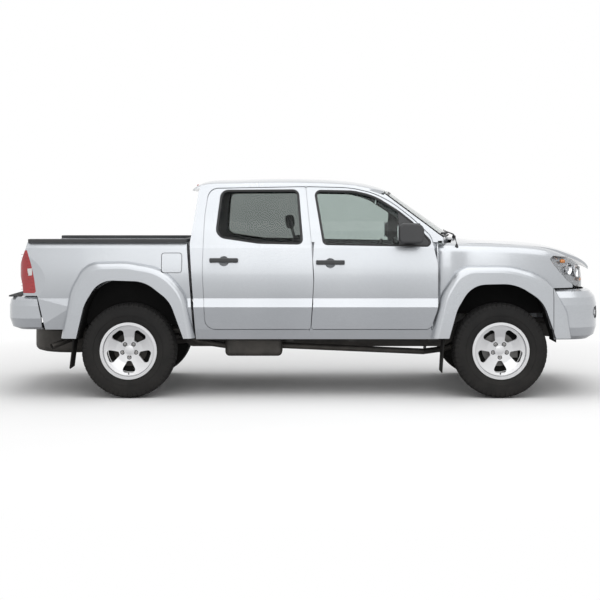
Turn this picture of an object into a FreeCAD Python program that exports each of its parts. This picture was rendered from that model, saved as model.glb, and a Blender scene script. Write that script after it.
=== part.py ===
# Mid-size crew-cab pickup truck, drawn at real size in millimetres.
# X runs forward, Y to the left, Z up. The origin is on the ground, at the middle of the truck's box.
import FreeCAD, Part
import math
import os

Vec = FreeCAD.Vector
os.makedirs("parts", exist_ok=True)

# Overall sizes
wheelbase = 3200.0
front_overhang = 928.0
rear_overhang = 1092.0
belt_height = 1318.0
roof_height = 1905.0
body_half_width = 905.0
flare_half_width = 945.0

# Wheels and tyres
tyre_radius = 408.0
tyre_width = 265.0
rim_radius = 231.0
rim_flange_radius = 245.0
track = 1565.0
lug_circle_radius = 62.0
lug_count = 5
spoke_count = 5

# Panels, gaps and clearances
panel = 22.0
door_depth = 92.0
side_depth = 100.0
skin_inset = 45.0
door_gap = 7.0
inner_gap = 10.0
panel_gap = 5.0
glass = 5.0
hood_thick = 26.0
roof_thick = 32.0

# Front and rear fittings
lamp_depth = 70.0
tail_lamp_depth = 50.0
grille_depth = 34.0
grille_rim = 16.0
grille_inset = 12.0
slat_count = 4
slat_depth = 16.0
slat_height = 9.0
bumper_thick = 26.0
fog_radius = 52.0
hitch_radius = 13.0
handle_stand = 16.0
handle_thick = 22.0
mirror_round = 18.0
running = 0.3
overrun = 40.0
sheet = 6.0
liner_gap = 20.0

# Door hinges
hinge_inboard = 45.0
hinge_setback = 45.0
hinge_pin = 6.0
hinge_lug = 12.0
hinge_height = 30.0
hinge_reach = 45.0
hinge_sweep = 285.0
hinge_sweep_start = 60.0
door_open = 65.0

# Load bed
bed_floor_top = 895.0
bed_rim_height = 1339.0
bed_wall_inner = 725.0
bed_floor = 22.0
rail_cap = 28.0
bed_corner_radius = 85.0
gate_half = 715.0
gate_pin = 8.0
gate_hinge_ahead = 210.0
gate_hinge_above = 50.0

# Running gear
kingpin_half_track = 690.0
frame_half_spacing = 390.0
frame_rail_width = 70.0
axle_tube_radius = 42.0
diff_radius = 150.0
shaft_radius = 32.0
spindle_radius = 28.0
spindle_end = 800.0
hub_inset = 24.0
drum_radius = 145.0
disc_thick = 14.0
kingpin_radius = 10.0
eye_radius = 24.0
eye_height = 30.0
upper_eye_z = 545.0
strut_top_z = 747.7
lower_eye_z = 315.0
arm_radius = 14.0
strut_radius = 44.0
leaf_width = 60.0
leaf_thick = 14.0
lug_hole = 9.0
muffler_round = 40.0
pipe_radius = 26.0
spare_scale = 0.93

# Steering wheel
hand_wheel_radius = 185.0
hand_wheel_grip = 14.0
hub_radius = 45.0
column_radius = 18.0
column_reach = 160.0

# Places worked out from those sizes
front_axle = (wheelbase + rear_overhang - front_overhang) / 2
rear_axle = front_axle - wheelbase
wheel_y = track / 2
nose = front_axle + front_overhang
tail = rear_axle - rear_overhang
hitch_x = tail + 5 * bumper_thick
gate_hinge_x = tail + gate_hinge_ahead
gate_hinge_z = bed_floor_top + gate_hinge_above


def along(share):
    """X of a share of the wheelbase from the rear axle, past 1 or below 0 a share of an overhang."""
    if share > 1:
        return front_axle + (share - 1) * front_overhang
    if share < 0:
        return rear_axle + share * rear_overhang
    return rear_axle + share * wheelbase


def up(share):
    """Z of a share of the belt height, past 1 a share of the rise from belt to roof."""
    if share > 1:
        return belt_height + (share - 1) * (roof_height - belt_height)
    return share * belt_height


def out(share):
    """Y of a share of the body's half width."""
    return share * body_half_width


def rounded(points, radii):
    """A closed wire through the corner points, each turned by an arc of its own radius."""
    count = len(points)
    spans = []
    for i in range(count):
        before = points[i - 1] - points[i]
        after = points[(i + 1) % count] - points[i]
        half = before.getAngle(after) / 2
        wanted = radii[i] / math.tan(half)
        cut = min(wanted, 0.49 * before.Length, 0.49 * after.Length)
        spans.append((cut, half, before.normalize(), after.normalize()))
    edges = []
    last = None
    first = None
    for i in range(count):
        cut, half, before, after = spans[i]
        start = points[i] + before * cut
        end = points[i] + after * cut
        if last is not None and (start - last).Length > 1e-6:
            edges.append(Part.makeLine(last, start))
        if cut > 1e-6:
            middle = (before + after).normalize()
            reach = cut / math.cos(half) - cut * math.tan(half)
            edges.append(Part.Arc(start, points[i] + middle * reach, end).toShape())
        if first is None:
            first = start
        last = end
    if (first - last).Length > 1e-6:
        edges.append(Part.makeLine(last, first))
    return Part.Wire(edges)


def grown(corners, margin):
    """Corners (across, height, radius) of an outline whose sides all move out by a margin."""
    count = len(corners)
    area = sum(corners[i - 1][0] * corners[i][1] - corners[i][0] * corners[i - 1][1] for i in range(count))
    turn = 1 if area > 0 else -1
    ways = []
    for i in range(count):
        ax, az, ar = corners[i - 1]
        bx, bz, br = corners[i]
        length = math.hypot(bx - ax, bz - az)
        ways.append(((bx - ax) / length, (bz - az) / length))
    moved = []
    for i in range(count):
        x, z, radius = corners[i]
        ux, uz = ways[i]
        vx, vz = ways[(i + 1) % count]
        n0 = (uz * turn, -ux * turn)
        n1 = (vz * turn, -vx * turn)
        spread = 1 + n0[0] * n1[0] + n0[1] * n1[1]
        bend = (ux * vz - uz * vx) * turn
        new_radius = max(radius + (margin if bend > 0 else -margin), 0.0)
        moved.append((x + (n0[0] + n1[0]) * margin / spread, z + (n0[1] + n1[1]) * margin / spread, new_radius))
    return moved


def placed(shares, grow=0.0):
    """Corners in millimetres of a side-view outline given as shares along, up and of the belt height."""
    corners = [(along(s), up(h), r * belt_height) for s, h, r in shares]
    return grown(corners, grow) if grow else corners


def side_wire(corners, y=0.0):
    return rounded([Vec(x, y, z) for x, z, r in corners], [r for x, z, r in corners])


def side_prism(shares, y0, y1, grow=0.0):
    """The side-view outline, grown by a margin, carried from y0 to y1."""
    return Part.Face(side_wire(placed(shares, grow), y0)).extrude(Vec(0, y1 - y0, 0))


def plan_prism(points, radii, z0, z1):
    """A plan outline in millimetres carried from z0 to z1."""
    wire = rounded([Vec(x, y, z0) for x, y in points], radii)
    return Part.Face(wire).extrude(Vec(0, 0, z1 - z0))


def profile_prism(points, radii, y0, y1):
    """A side-view outline in millimetres carried from y0 to y1."""
    wire = rounded([Vec(x, y0, z) for x, z in points], radii)
    return Part.Face(wire).extrude(Vec(0, y1 - y0, 0))


def block(x0, x1, y0, y1, z0, z1):
    return Part.makeBox(x1 - x0, y1 - y0, z1 - z0, Vec(x0, y0, z0))


def rod(start, end, radius):
    way = end - start
    return Part.makeCylinder(radius, way.Length, start, way)


def spot(place):
    """A point from its shares along, out and up."""
    return Vec(along(place[0]), out(place[1]), up(place[2]))


def box_at(box):
    """A block from its shares: from and to along, out and up."""
    x0, x1, y0, y1, z0, z1 = box
    return block(along(x0), along(x1), out(y0), out(y1), up(z0), up(z1))


def boxes_at(boxes):
    return [box_at(box) for box in boxes]


def soft_box(box, radius):
    """A block with all its edges rounded."""
    solid = box_at(box)
    return solid.makeFillet(radius, solid.Edges)


def swept(path, section):
    """A closed section (inboard depth, height) carried along a plan path and its mirror image."""
    points = [Vec(along(s), out(w), 0) for s, w in path]
    points += [Vec(p.x, -p.y, 0) for p in points[:-1][::-1]]
    spine = spline(points)
    start = points[0]
    way = (points[1] - points[0]).normalize()
    sign = 1 if way.x > 0 else -1
    outward = Vec(-way.y, way.x, 0) * sign
    corners = [start - outward * d + Vec(0, 0, z) for d, z in section]
    wire = Part.Wire([Part.makeLine(a, b) for a, b in zip(corners, corners[1:] + corners[:1])])
    return Part.Wire([spine]).makePipeShell([wire], True, False)


def lathe(profile, axis_x, y, z):
    """Turns a closed outline (radius, across) about the cross-wise axis through a point."""
    points = [Vec(axis_x, y + a, z + r) for r, a in profile]
    face = Part.Face(Part.makePolygon(points + points[:1]))
    return face.revolve(Vec(axis_x, y, z), Vec(0, 1, 0), 360)


def mirrored(shape):
    return shape.mirror(Vec(0, 0, 0), Vec(0, 1, 0))


def fuse(shapes):
    return shapes[0].multiFuse(shapes[1:]).removeSplitter()


def both(shape):
    return [shape, mirrored(shape)]


def solids_of(shapes):
    found = []
    for shape in shapes:
        found.extend(shape.Solids)
    return found


def save(name, *shapes):
    """Write one node as its solids, and say how many there are and their volume."""
    solids = solids_of(shapes)
    good = all(solid.isValid() for solid in solids)
    shape = solids[0] if len(solids) == 1 else Part.makeCompound(solids)
    shape.exportStep("parts/" + name + ".step")
    litres = sum(solid.Volume for solid in solids) / 1e6
    print(name, len(solids), "solids", round(litres, 2), "litres", "" if good else "INVALID")


# The body side from rocker to roof rail: half widths and heights as shares
side_profile_shares = [(0.935, 0.383), (0.962, 0.448), (1.0, 0.595), (0.9635, 0.651)]
side_bulge_shares = [(0.972, 0.80), (0.941, 0.979)]
belt_edge_share = (0.926, 1.0)
glass_bulge_share = (0.818, 1.42)
rail_edge_share = (0.699, 1.88)


def side_point(share, depth=0.0):
    return Vec(0, out(share[0]) - depth, up(share[1]))


def side_curve(depth):
    """Edges of the side profile from rocker to roof rail, moved inboard by depth."""
    low = [side_point(s, depth) for s in side_profile_shares]
    bulge = [side_point(s, depth) for s in side_bulge_shares]
    belt = side_point(belt_edge_share, depth)
    pane = side_point(glass_bulge_share, depth)
    rail = side_point(rail_edge_share, depth)
    edges = [Part.makeLine(a, b) for a, b in zip(low, low[1:])]
    edges.append(Part.Arc(low[-1], bulge[0], bulge[1]).toShape())
    edges.append(Part.makeLine(bulge[1], belt))
    edges.append(Part.Arc(belt, pane, rail).toShape())
    return edges


def side_band(x0, x1, depth0, depth1):
    """The left body side between two depths from its outer face."""
    outer = side_curve(depth0)
    inner = side_curve(depth1)
    close_top = Part.makeLine(side_point(rail_edge_share, depth0), side_point(rail_edge_share, depth1))
    close_low = Part.makeLine(side_point(side_profile_shares[0], depth0),
                              side_point(side_profile_shares[0], depth1))
    wire = Part.Wire(Part.__sortEdges__(outer + inner + [close_top, close_low]))
    wire.translate(Vec(x0, 0, 0))
    return Part.Face(wire).extrude(Vec(x1 - x0, 0, 0))


side_trace = []
for side_edge in side_curve(0.0):
    side_trace.extend(side_edge.discretize(12))


def side_y(z):
    """Half width of the body side at a height."""
    for a, b in zip(side_trace, side_trace[1:]):
        if a.z <= z <= b.z and b.z > a.z:
            return a.y + (b.y - a.y) * (z - a.z) / (b.z - a.z)
    return side_trace[-1].y if z > side_trace[-1].z else side_trace[0].y


# Door, window and cab outlines
rear_door_shares = [(0.211, 1.835, 0.07), (0.476, 1.862, 0.011), (0.494, 0.948, 0.3), (0.498, 0.759, 0.4),
                    (0.490, 0.448, 0.02), (0.206, 0.448, 0.07), (0.198, 0.819, 1.0), (0.201, 1.412, 0.8)]
front_door_shares = [(0.476, 1.862, 0.011), (0.599, 1.845, 0.6), (0.662, 1.765, 0.45), (0.712, 1.624, 0.6),
                     (0.765, 1.395, 0.6), (0.816, 1.123, 0.12), (0.833, 0.873, 0.35), (0.833, 0.592, 0.19),
                     (0.813, 0.448, 0.045), (0.490, 0.448, 0.02), (0.498, 0.759, 0.4), (0.494, 0.948, 0.3)]
rear_window_shares = [(0.247, 1.795, 0.045), (0.454, 1.802, 0.034), (0.466, 1.014, 0.027),
                      (0.349, 1.027, 0.3), (0.234, 1.118, 0.06)]
front_window_shares = [(0.502, 1.795, 0.03), (0.606, 1.785, 0.35), (0.662, 1.715, 0.4), (0.728, 1.487, 0.6),
                       (0.77, 1.302, 0.6), (0.813, 1.046, 0.045), (0.807, 0.991, 0.02), (0.526, 1.007, 0.027)]
sail_shares = [(0.728, 1.55, 0), (0.83, 1.10, 0), (0.83, 0.95, 0), (0.728, 0.95, 0)]
cab_side_shares = [(0.181, 0.36, 0), (0.163, 1.02, 0.05), (0.183, 1.80, 0.03), (0.19, 1.90, 0),
                   (0.60, 1.90, 0), (0.69, 1.735, 0), (0.692, 1.755, 0), (0.847, 1.11, 0), (0.845, 0.36, 0)]
hinge_height_shares = (0.56, 0.784)
swept_height_shares = (0.448, 0.475, 0.52, 0.595, 0.651, 0.80, 0.90, 0.98, 1.04)


def door_pieces(outline, window):
    """The left door with its window cut, and its pane of glass, as one pair."""
    x0 = along(0.15)
    x1 = along(0.90)
    wide = (body_half_width + overrun)
    seat = side_prism(window, 0, wide, glass * 2)
    rim = side_prism(outline, 0, wide, -door_gap / 2).cut(side_prism(window, 0, wide))
    core = side_prism(outline, 0, wide, -skin_inset).cut(seat)
    skin = side_band(x0, x1, 0.0, panel).common(rim)
    plug = side_band(x0, x1, panel, door_depth).common(core)
    door = skin.fuse(plug)
    pane = side_band(x0, x1, panel, panel + glass).common(seat)
    return door, pane


def front_edge(outline, z):
    """Foremost X of an outline at a height."""
    trace = side_wire(placed(outline)).discretize(300)
    found = []
    for a, b in zip(trace, trace[1:] + trace[:1]):
        if (a.z - z) * (b.z - z) <= 0 and abs(a.z - b.z) > 1e-6:
            found.append(a.x + (b.x - a.x) * (z - a.z) / (b.z - a.z))
    return max(found)


def hinge_line(outline):
    """X and Y of a door's upright hinge axis."""
    foremost = max(point.x for point in side_wire(placed(outline)).discretize(300))
    return foremost - door_gap / 2 - hinge_setback, body_half_width - hinge_inboard


def swept_edge(outline):
    """What a door's front edge sweeps round its hinge as it opens, with the gap that clears it."""
    x, y = hinge_line(outline)
    heights = [up(share) for share in swept_height_shares]
    rim = []
    for z in heights:
        ahead = max(front_edge(outline, z) - door_gap / 2 - x, 0)
        beside = side_y(z) - y
        turned = beside / math.cos(math.radians(door_open / 2))
        reach = max(math.hypot(ahead, beside), math.hypot(ahead, beside - panel), turned)
        rim.append((reach + panel_gap, z))
    points = [Vec(x, y, heights[0] - door_gap), Vec(x, y + rim[0][0], heights[0] - door_gap)]
    points += [Vec(x, y + reach, z) for reach, z in rim]
    points += [Vec(x, y, heights[-1])]
    face = Part.Face(Part.makePolygon(points + points[:1]))
    face.rotate(Vec(x, y, 0), Vec(0, 0, 1), hinge_sweep_start - hinge_sweep)
    return face.revolve(Vec(x, y, 0), Vec(0, 0, 1), hinge_sweep)


def hinge_notch(outline, z):
    """The pocket in a door's edge round one hinge."""
    x, y = hinge_line(outline)
    half = hinge_height + panel_gap
    ahead = x + hinge_setback + overrun
    pocket = block(x - hinge_lug - panel_gap, ahead, 0, y + overrun, z - half, z + half)
    return pocket.common(side_band(x - overrun, x + 2 * overrun, panel / 2, side_depth))


def hinge_on_door(outline, z):
    """The lug that a door turns on, joined to the door's skin."""
    x, y = hinge_line(outline)
    low = z - hinge_height / 2
    lug = Part.makeCylinder(hinge_lug, hinge_height, Vec(x, y, low))
    web = block(x - hinge_lug, x + hinge_lug, y, side_y(z) - panel / 3, low, low + hinge_height)
    hole = Part.makeCylinder(hinge_pin + running, hinge_height, Vec(x, y, low))
    return lug.fuse(web).cut(hole)


def hinge_room(outline, z):
    """Space in the pillar for the lug that turns there."""
    x, y = hinge_line(outline)
    low = z - hinge_height / 2 - running
    return Part.makeCylinder(hinge_lug + panel_gap, hinge_height + 2 * running, Vec(x, y, low))


def hinge_on_pillar(outline, z):
    """Pin and two arms that hold a door's lug, reaching in to the pillar ahead of the door."""
    x, y = hinge_line(outline)
    inner = side_y(z) - side_depth
    pieces = [Part.makeCylinder(hinge_pin, hinge_height * 2, Vec(x, y, z - hinge_height))]
    high = hinge_height / 2 - running
    for low in (z - hinge_height, z + hinge_height / 2 + running):
        pieces.append(block(x - hinge_pin, x + hinge_pin, inner, y, low, low + high))
        pieces.append(block(x - hinge_pin, x + 2 * skin_inset / 3, inner, y - hinge_reach, low, low + high))
    return fuse(pieces)


def build_doors():
    """Both side doors of the left, with glass, and the tools that cut their neighbours."""
    made = {}
    for name, outline, window in (("rear", rear_door_shares, rear_window_shares),
                                  ("front", front_door_shares, front_window_shares)):
        door, pane = door_pieces(outline, window)
        for share in hinge_height_shares:
            door = door.cut(hinge_notch(outline, up(share)))
            door = door.fuse(hinge_on_door(outline, up(share)))
        made[name] = [door, pane]
    made["front"][0] = made["front"][0].cut(swept_edge(rear_door_shares))
    return made


def build_cab_side():
    """The left side frame of the cab: rocker, pillars and header, less the door openings."""
    wide = body_half_width + overrun
    side = side_band(along(0.15), along(0.88), 0.0, side_depth).common(side_prism(cab_side_shares, 0, wide))
    behind_fender = side_band(along(0.833), along(0.88), 0.0, side_depth - 1.5 * panel)
    below_belt = block(along(0.833), along(0.88), 0, wide, 0, up(1.06))
    under_wing_top = block(along(0.833), along(0.88), 0, wide, up(0.965), up(1.06))
    side = side.cut(behind_fender.common(below_belt)).cut(under_wing_top)
    x0 = along(0.15)
    x1 = along(0.88)
    for outline in (rear_door_shares, front_door_shares):
        pocket = side_band(x0, x1, -overrun, panel + panel_gap).common(
            side_prism(outline, 0, wide + overrun, door_gap / 2))
        side = side.cut(pocket)
        opening = side_prism(outline, 0, wide + overrun, inner_gap - skin_inset)
        side = side.cut(opening)
        side = side.cut(swept_edge(outline))
    for outline in (rear_door_shares, front_door_shares):
        for share in hinge_height_shares:
            side = side.cut(hinge_room(outline, up(share)))
            side = side.fuse(hinge_on_pillar(outline, up(share)))
    return side.removeSplitter()


# Wheel openings and flares: corners as shares of the tyre radius from the wheel's centre
front_arch_shares = [(-1.16, -0.5, 0), (-1.10, 0.26, 0.2), (-0.93, 0.88, 0.8), (-0.62, 1.40, 0.55),
                     (0.30, 1.42, 0.9), (0.88, 1.05, 0.7), (1.15, 0.26, 0.3), (1.2, -0.5, 0)]
rear_arch_shares = [(-1.12, -0.5, 0), (-1.08, 0.30, 0.3), (-0.92, 0.98, 0.8), (-0.60, 1.50, 0.5),
                    (0.35, 1.47, 0.7), (0.88, 1.06, 0.7), (1.17, 0.26, 0.3), (1.2, -0.5, 0)]
front_flare_shares = [(-1.47, 0.27, 0), (-1.24, 1.22, 0.8), (-0.90, 1.80, 0.5), (0.20, 1.80, 1.6),
                      (0.98, 1.58, 0.9), (1.42, 0.85, 0.6), (1.50, 0.27, 0)]
rear_flare_shares = [(-1.43, 0.27, 0), (-1.24, 1.30, 0.8), (-0.92, 1.88, 0.5), (-0.05, 1.90, 1.2),
                     (0.75, 1.76, 1.0), (1.22, 1.25, 0.9), (1.40, 0.27, 0)]
flare_steps_shares = [(1.0, 0.0), (0.985, 0.55), (0.95, 0.88), (0.90, 1.0)]


def round_wheel(shares, axle, y, scale=1.0, grow=0.0):
    """A side-view outline round a wheel, its corners scaled about the foot line of the flare."""
    foot = shares[0][1]
    corners = []
    for sx, sz, sr in shares:
        corners.append((axle + sx * scale * tyre_radius,
                        tyre_radius * (1 + foot + (sz - foot) * scale), sr * tyre_radius))
    return side_wire(grown(corners, grow) if grow else corners, y)


def arch_prism(shares, axle, y0, y1, grow=0.0):
    return Part.Face(round_wheel(shares, axle, y0, 1.0, grow)).extrude(Vec(0, y1 - y0, 0))


def flare(shares, axle, base_y):
    """The swollen panel round a wheel opening, from inside the body side out to the flare's lip."""
    wires = []
    for scale, share in flare_steps_shares:
        wires.append(round_wheel(shares, axle, base_y + share * (flare_half_width - base_y), scale))
    return Part.makeLoft(wires, True, False)


# Front corner: places along the wing's edge in plan, with the height of its top
wing_path_shares = [(0.8345, 0.955, 1.011), (0.90, 0.962, 1.008), (0.98, 0.965, 1.003), (1.16, 0.965, 0.997),
                    (1.38, 0.953, 0.985), (1.57, 0.915, 0.962), (1.72, 0.83, 0.932), (1.82, 0.69, 0.905),
                    (1.87, 0.50, 0.885), (1.892, 0.27, 0.872), (1.90, 0.0, 0.868)]
wing_low_shares = [(0.025, 0.448), (0.0, 0.595), (0.0365, 0.651)]
wing_top_shares = [(0.030, 0.76), (0.034, -0.098), (0.058, -0.038), (0.115, -0.010), (0.195, 0.0)]
wing_thick = 24.0


def path_frames(path):
    """Each place of a plan path with the unit vector that points out of the body there."""
    frames = []
    for i, (x, y, top) in enumerate(path):
        x0, y0, t0 = path[max(i - 1, 0)]
        x1, y1, t1 = path[min(i + 1, len(path) - 1)]
        way = Vec(x1 - x0, y1 - y0, 0).normalize()
        if y == 0.0:
            way = Vec(0, -1, 0)
        frames.append((x, y, top, Vec(-way.y, way.x, 0)))
    return frames


def spline(points):
    curve = Part.BSplineCurve()
    curve.interpolate(points)
    return curve.toShape()


def wing_section(x, y, top, outward, thick):
    """Closed outline across the wing at one place: side, ledge and turned-in top, and the same inside."""
    def place(d, z):
        return Vec(x, y, z) - outward * d
    low = [(out(d), up(h)) for d, h in wing_low_shares]
    high = [(out(wing_top_shares[0][0]), up(wing_top_shares[0][1]))]
    high += [(out(d), up(top + h)) for d, h in wing_top_shares[1:]]
    slopes = [(1, 0), (0.98, -0.2), (0.8, -0.6), (0.4, -0.92), (0, -1)]
    outer = [place(d, z) for d, z in low] + [place(d, z) for d, z in high]
    inner = [place(d + thick, z) for d, z in low]
    inner += [place(d + thick * a, z + thick * b) for (d, z), (a, b) in zip(high, slopes)]
    edges = [Part.makeLine(outer[0], outer[1]), Part.makeLine(outer[1], outer[2]), spline(outer[2:])]
    edges += [Part.makeLine(outer[-1], inner[-1]), spline(inner[2:][::-1])]
    edges += [Part.makeLine(inner[2], inner[1]), Part.makeLine(inner[1], inner[0])]
    edges += [Part.makeLine(inner[0], outer[0])]
    return Part.Wire(edges)


def wing_shell(thick):
    """The whole left front corner of the body, from the door round to the middle of the nose."""
    path = [(along(s), out(w), top) for s, w, top in wing_path_shares]
    return Part.makeLoft([wing_section(*frame, thick) for frame in path_frames(path)], True, False)


headlamp_shares = [(1.478, 0.906, 0.0), (1.506, 0.926, 0.02), (1.70, 0.915, 0.05), (1.80, 0.868, 0.05),
                   (1.96, 0.845, 0), (1.96, 0.712, 0), (1.817, 0.712, 0.02), (1.732, 0.724, 0.05),
                   (1.649, 0.763, 0.1), (1.571, 0.82, 0.1), (1.515, 0.866, 0.05)]
bumper_side_shares = [(1.484, 0.712, 0), (1.96, 0.712, 0), (1.96, 0.30, 0), (1.484, 0.30, 0)]
hood_side_share = 0.775
lamp_inner_share = 0.50
grille_half_share = 0.485


def hood_plan(grow=0.0):
    """Plan outline of the hood: curved rear edge, straight sides, front corners round the nose."""
    corners = [(along(0.893), out(0.30), 1200), (along(0.871), out(hood_side_share), 30),
               (along(1.45), out(0.765), 900), (along(1.80), out(0.60), 160), (along(1.93), out(0.45), 60),
               (along(1.93), -out(0.45), 60), (along(1.80), -out(0.60), 160), (along(1.45), -out(0.765), 900),
               (along(0.871), -out(hood_side_share), 30), (along(0.893), -out(0.30), 1200)]
    return grown(corners, grow) if grow else corners


def plan_solid(corners, z0, z1):
    wire = rounded([Vec(x, y, z0) for x, y, r in corners], [r for x, y, r in corners])
    return Part.Face(wire).extrude(Vec(0, 0, z1 - z0))


hood_stations_shares = [(0.83, 1.0943, 1.012, 0.80), (0.92, 1.064, 1.010, 0.80), (1.10, 1.018, 1.0, 0.80),
                        (1.35, 1.004, 0.985, 0.80), (1.57, 0.980, 0.955, 0.78), (1.70, 0.956, 0.918, 0.74),
                        (1.80, 0.930, 0.885, 0.70), (1.87, 0.895, 0.855, 0.66), (1.91, 0.862, 0.83, 0.63)]


def crowned(x, centre, side, half, thick):
    """Closed outline of a crowned sheet across the truck at one X."""
    shape_shares = [(1.0, 0.0), (0.86, 0.36), (0.6, 0.70), (0.3, 0.93), (0.0, 1.0)]
    left = [Vec(x, half * a, side + (centre - side) * b) for a, b in shape_shares]
    top = left + [Vec(p.x, -p.y, p.z) for p in left[:-1][::-1]]
    low = [Vec(p.x, p.y, p.z - thick) for p in top[::-1]]
    edges = [spline(top), Part.makeLine(top[-1], low[0]), spline(low), Part.makeLine(low[-1], top[0])]
    return Part.Wire(edges)


def build_hood():
    """The hood skin on its frame, one crowned panel that drops to the nose."""
    stations = [(along(s), up(c), up(e), out(h)) for s, c, e, h in hood_stations_shares]
    skin = Part.makeLoft([crowned(x, c, e, h, hood_thick) for x, c, e, h in stations], True, False)
    hood = skin.common(plan_solid(hood_plan(), 0, 2 * belt_height))
    place = spot(hood_lug_shares)
    lug = rod(place, place + Vec(0, hinge_lug, 0), hinge_lug)
    lug = lug.fuse(block(place.x - hinge_pin, place.x + hinge_pin, place.y, place.y + hinge_lug, place.z,
                         place.z + hinge_height))
    lug = lug.cut(skin).cut(rod(place, place + Vec(0, hinge_lug, 0), hinge_pin + running))
    lug = max(lug.Solids, key=lambda solid: solid.Volume)
    return fuse([hood] + both(lug))


def build_front(front_door_sweep):
    """Wings with their flares, head lamps, grille and front bumper, all cut from the same corner."""
    wide = body_half_width + overrun
    shell = wing_shell(wing_thick)
    above = 2 * belt_height
    hood_room = plan_solid(hood_plan(panel_gap), up(0.80), above)
    lamp_room = side_prism(headlamp_shares, 0, wide, panel_gap)
    bumper_room = side_prism(bumper_side_shares, 0, wide, panel_gap)
    nose_room = block(along(1.70), nose + overrun, 0, wide, 0, above)
    arch = arch_prism(front_arch_shares, front_axle, 0, wide + overrun)
    ring = flare(front_flare_shares, front_axle, out(0.93)).cut(arch)
    wing = shell.cut(arch).cut(nose_room).fuse(ring)
    for tool in (bumper_room, lamp_room, hood_room, front_door_sweep):
        wing = wing.cut(tool)
    wing = max(wing.Solids, key=lambda solid: solid.Volume)
    lamp_zone = side_prism(headlamp_shares, out(lamp_inner_share), wide)
    lamp = wing_shell(lamp_depth).common(lamp_zone).cut(hood_room)
    lamp = max(lamp.Solids, key=lambda solid: solid.Volume)
    return wing, lamp, ring.common(side_prism(bumper_side_shares, 0, wide + overrun))


# Bumpers, grille and lamps
bumper_path_shares = [(1.43, 0.982), (1.56, 0.982), (1.70, 0.965), (1.80, 0.925), (1.88, 0.85), (1.935, 0.73),
                      (1.967, 0.57), (1.985, 0.38), (1.996, 0.19), (2.0, 0.0)]
bumper_section_shares = [(0.085, 0.378), (0.025, 0.405), (0.0, 0.46), (0.0, 0.605), (0.018, 0.655),
                         (0.065, 0.694), (0.125, 0.706)]
grille_path_shares = [(1.835, 0.60), (1.87, 0.45), (1.888, 0.30), (1.897, 0.15), (1.90, 0.0)]
rear_bumper_path_shares = [(-0.69, 0.978), (-0.78, 0.975), (-0.86, 0.958), (-0.93, 0.90), (-0.968, 0.80),
                           (-0.985, 0.60), (-0.993, 0.40), (-0.998, 0.20), (-1.0, 0.0)]
rear_bumper_section_shares = [(0.10, 0.444), (0.03, 0.462), (0.0, 0.52), (0.0, 0.60), (0.012, 0.64),
                              (0.04, 0.660), (0.09, 0.664)]

rear_bumper_end_shares = [(-0.6648, 0.4249, 0), (-0.4414, 0.4249, 0), (-0.4414, 0.6829, 0), (-0.7326, 0.6829, 0)]


def bumper_shell(path_shares, section_shares, thick):
    """A bumper's bowed section, with its thickness, carried round the corners."""
    outer = [(out(d), up(h)) for d, h in section_shares]
    low = outer[0][1]
    high = outer[-1][1]
    inner = []
    for d, z in outer:
        share = 2 * (z - low) / (high - low) - 1
        inner.append((d + thick * (1 - abs(share) ** 3), z - thick * share))
    return swept(path_shares, outer + inner[::-1])


def build_front_bumper(flare_end):
    wide = body_half_width + overrun
    bumper = bumper_shell(bumper_path_shares, bumper_section_shares, bumper_thick)
    bumper = bumper.cut(block(0, along(1.484), -wide, wide, 0, belt_height))
    bumper = bumper.fuse(flare_end).fuse(mirrored(flare_end))
    bumper = bumper.cut(arch_prism(front_arch_shares, front_axle, -2 * wide, 2 * wide))
    bumper = max(bumper.Solids, key=lambda solid: solid.Volume)
    half = out(0.46)
    x = along(1.7)
    points = [Vec(x, -half, up(0.435)), Vec(x, half, up(0.435)), Vec(x, half * 1.08, up(0.545)),
              Vec(x, -half * 1.08, up(0.545))]
    mouth = Part.Face(rounded(points, [bumper_thick] * 4)).extrude(Vec(front_overhang, 0, 0))
    bumper = bumper.cut(mouth)
    for side in (1, -1):
        start = Vec(x, side * out(0.76), up(0.552))
        bumper = bumper.cut(rod(start, start + Vec(front_overhang, 0, 0), fog_radius + panel_gap))
    return bumper


def build_fog_lamps():
    lamps = []
    for side in (1, -1):
        start = Vec(along(1.86), side * out(0.76), up(0.552))
        lamps.append(rod(start, start + Vec(fog_radius, 0, 0), fog_radius))
    return lamps


def build_rear_bumper():
    """Painted bumper with a step pad on its top and a hole for a ball hitch in the middle."""
    bumper = bumper_shell(rear_bumper_path_shares, rear_bumper_section_shares, bumper_thick)
    top = up(0.664)
    corners = [(tail + 2.2 * bumper_thick, out(0.70), 60), (tail + 3.4 * bumper_thick, out(0.84), 80),
               (along(-0.74), out(0.88), 20), (along(-0.74), -out(0.88), 20),
               (tail + 3.4 * bumper_thick, -out(0.84), 80), (tail + 2.2 * bumper_thick, -out(0.70), 60)]
    step = plan_solid(corners, top - bumper_thick, top)
    bumper = bumper.fuse(step)
    hitch = Part.makeCylinder(hitch_radius, 4 * bumper_thick, Vec(hitch_x, 0, top - 3 * bumper_thick))
    wide = body_half_width + overrun
    return bumper.cut(hitch).cut(side_prism(rear_bumper_end_shares, -wide, wide))


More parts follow.
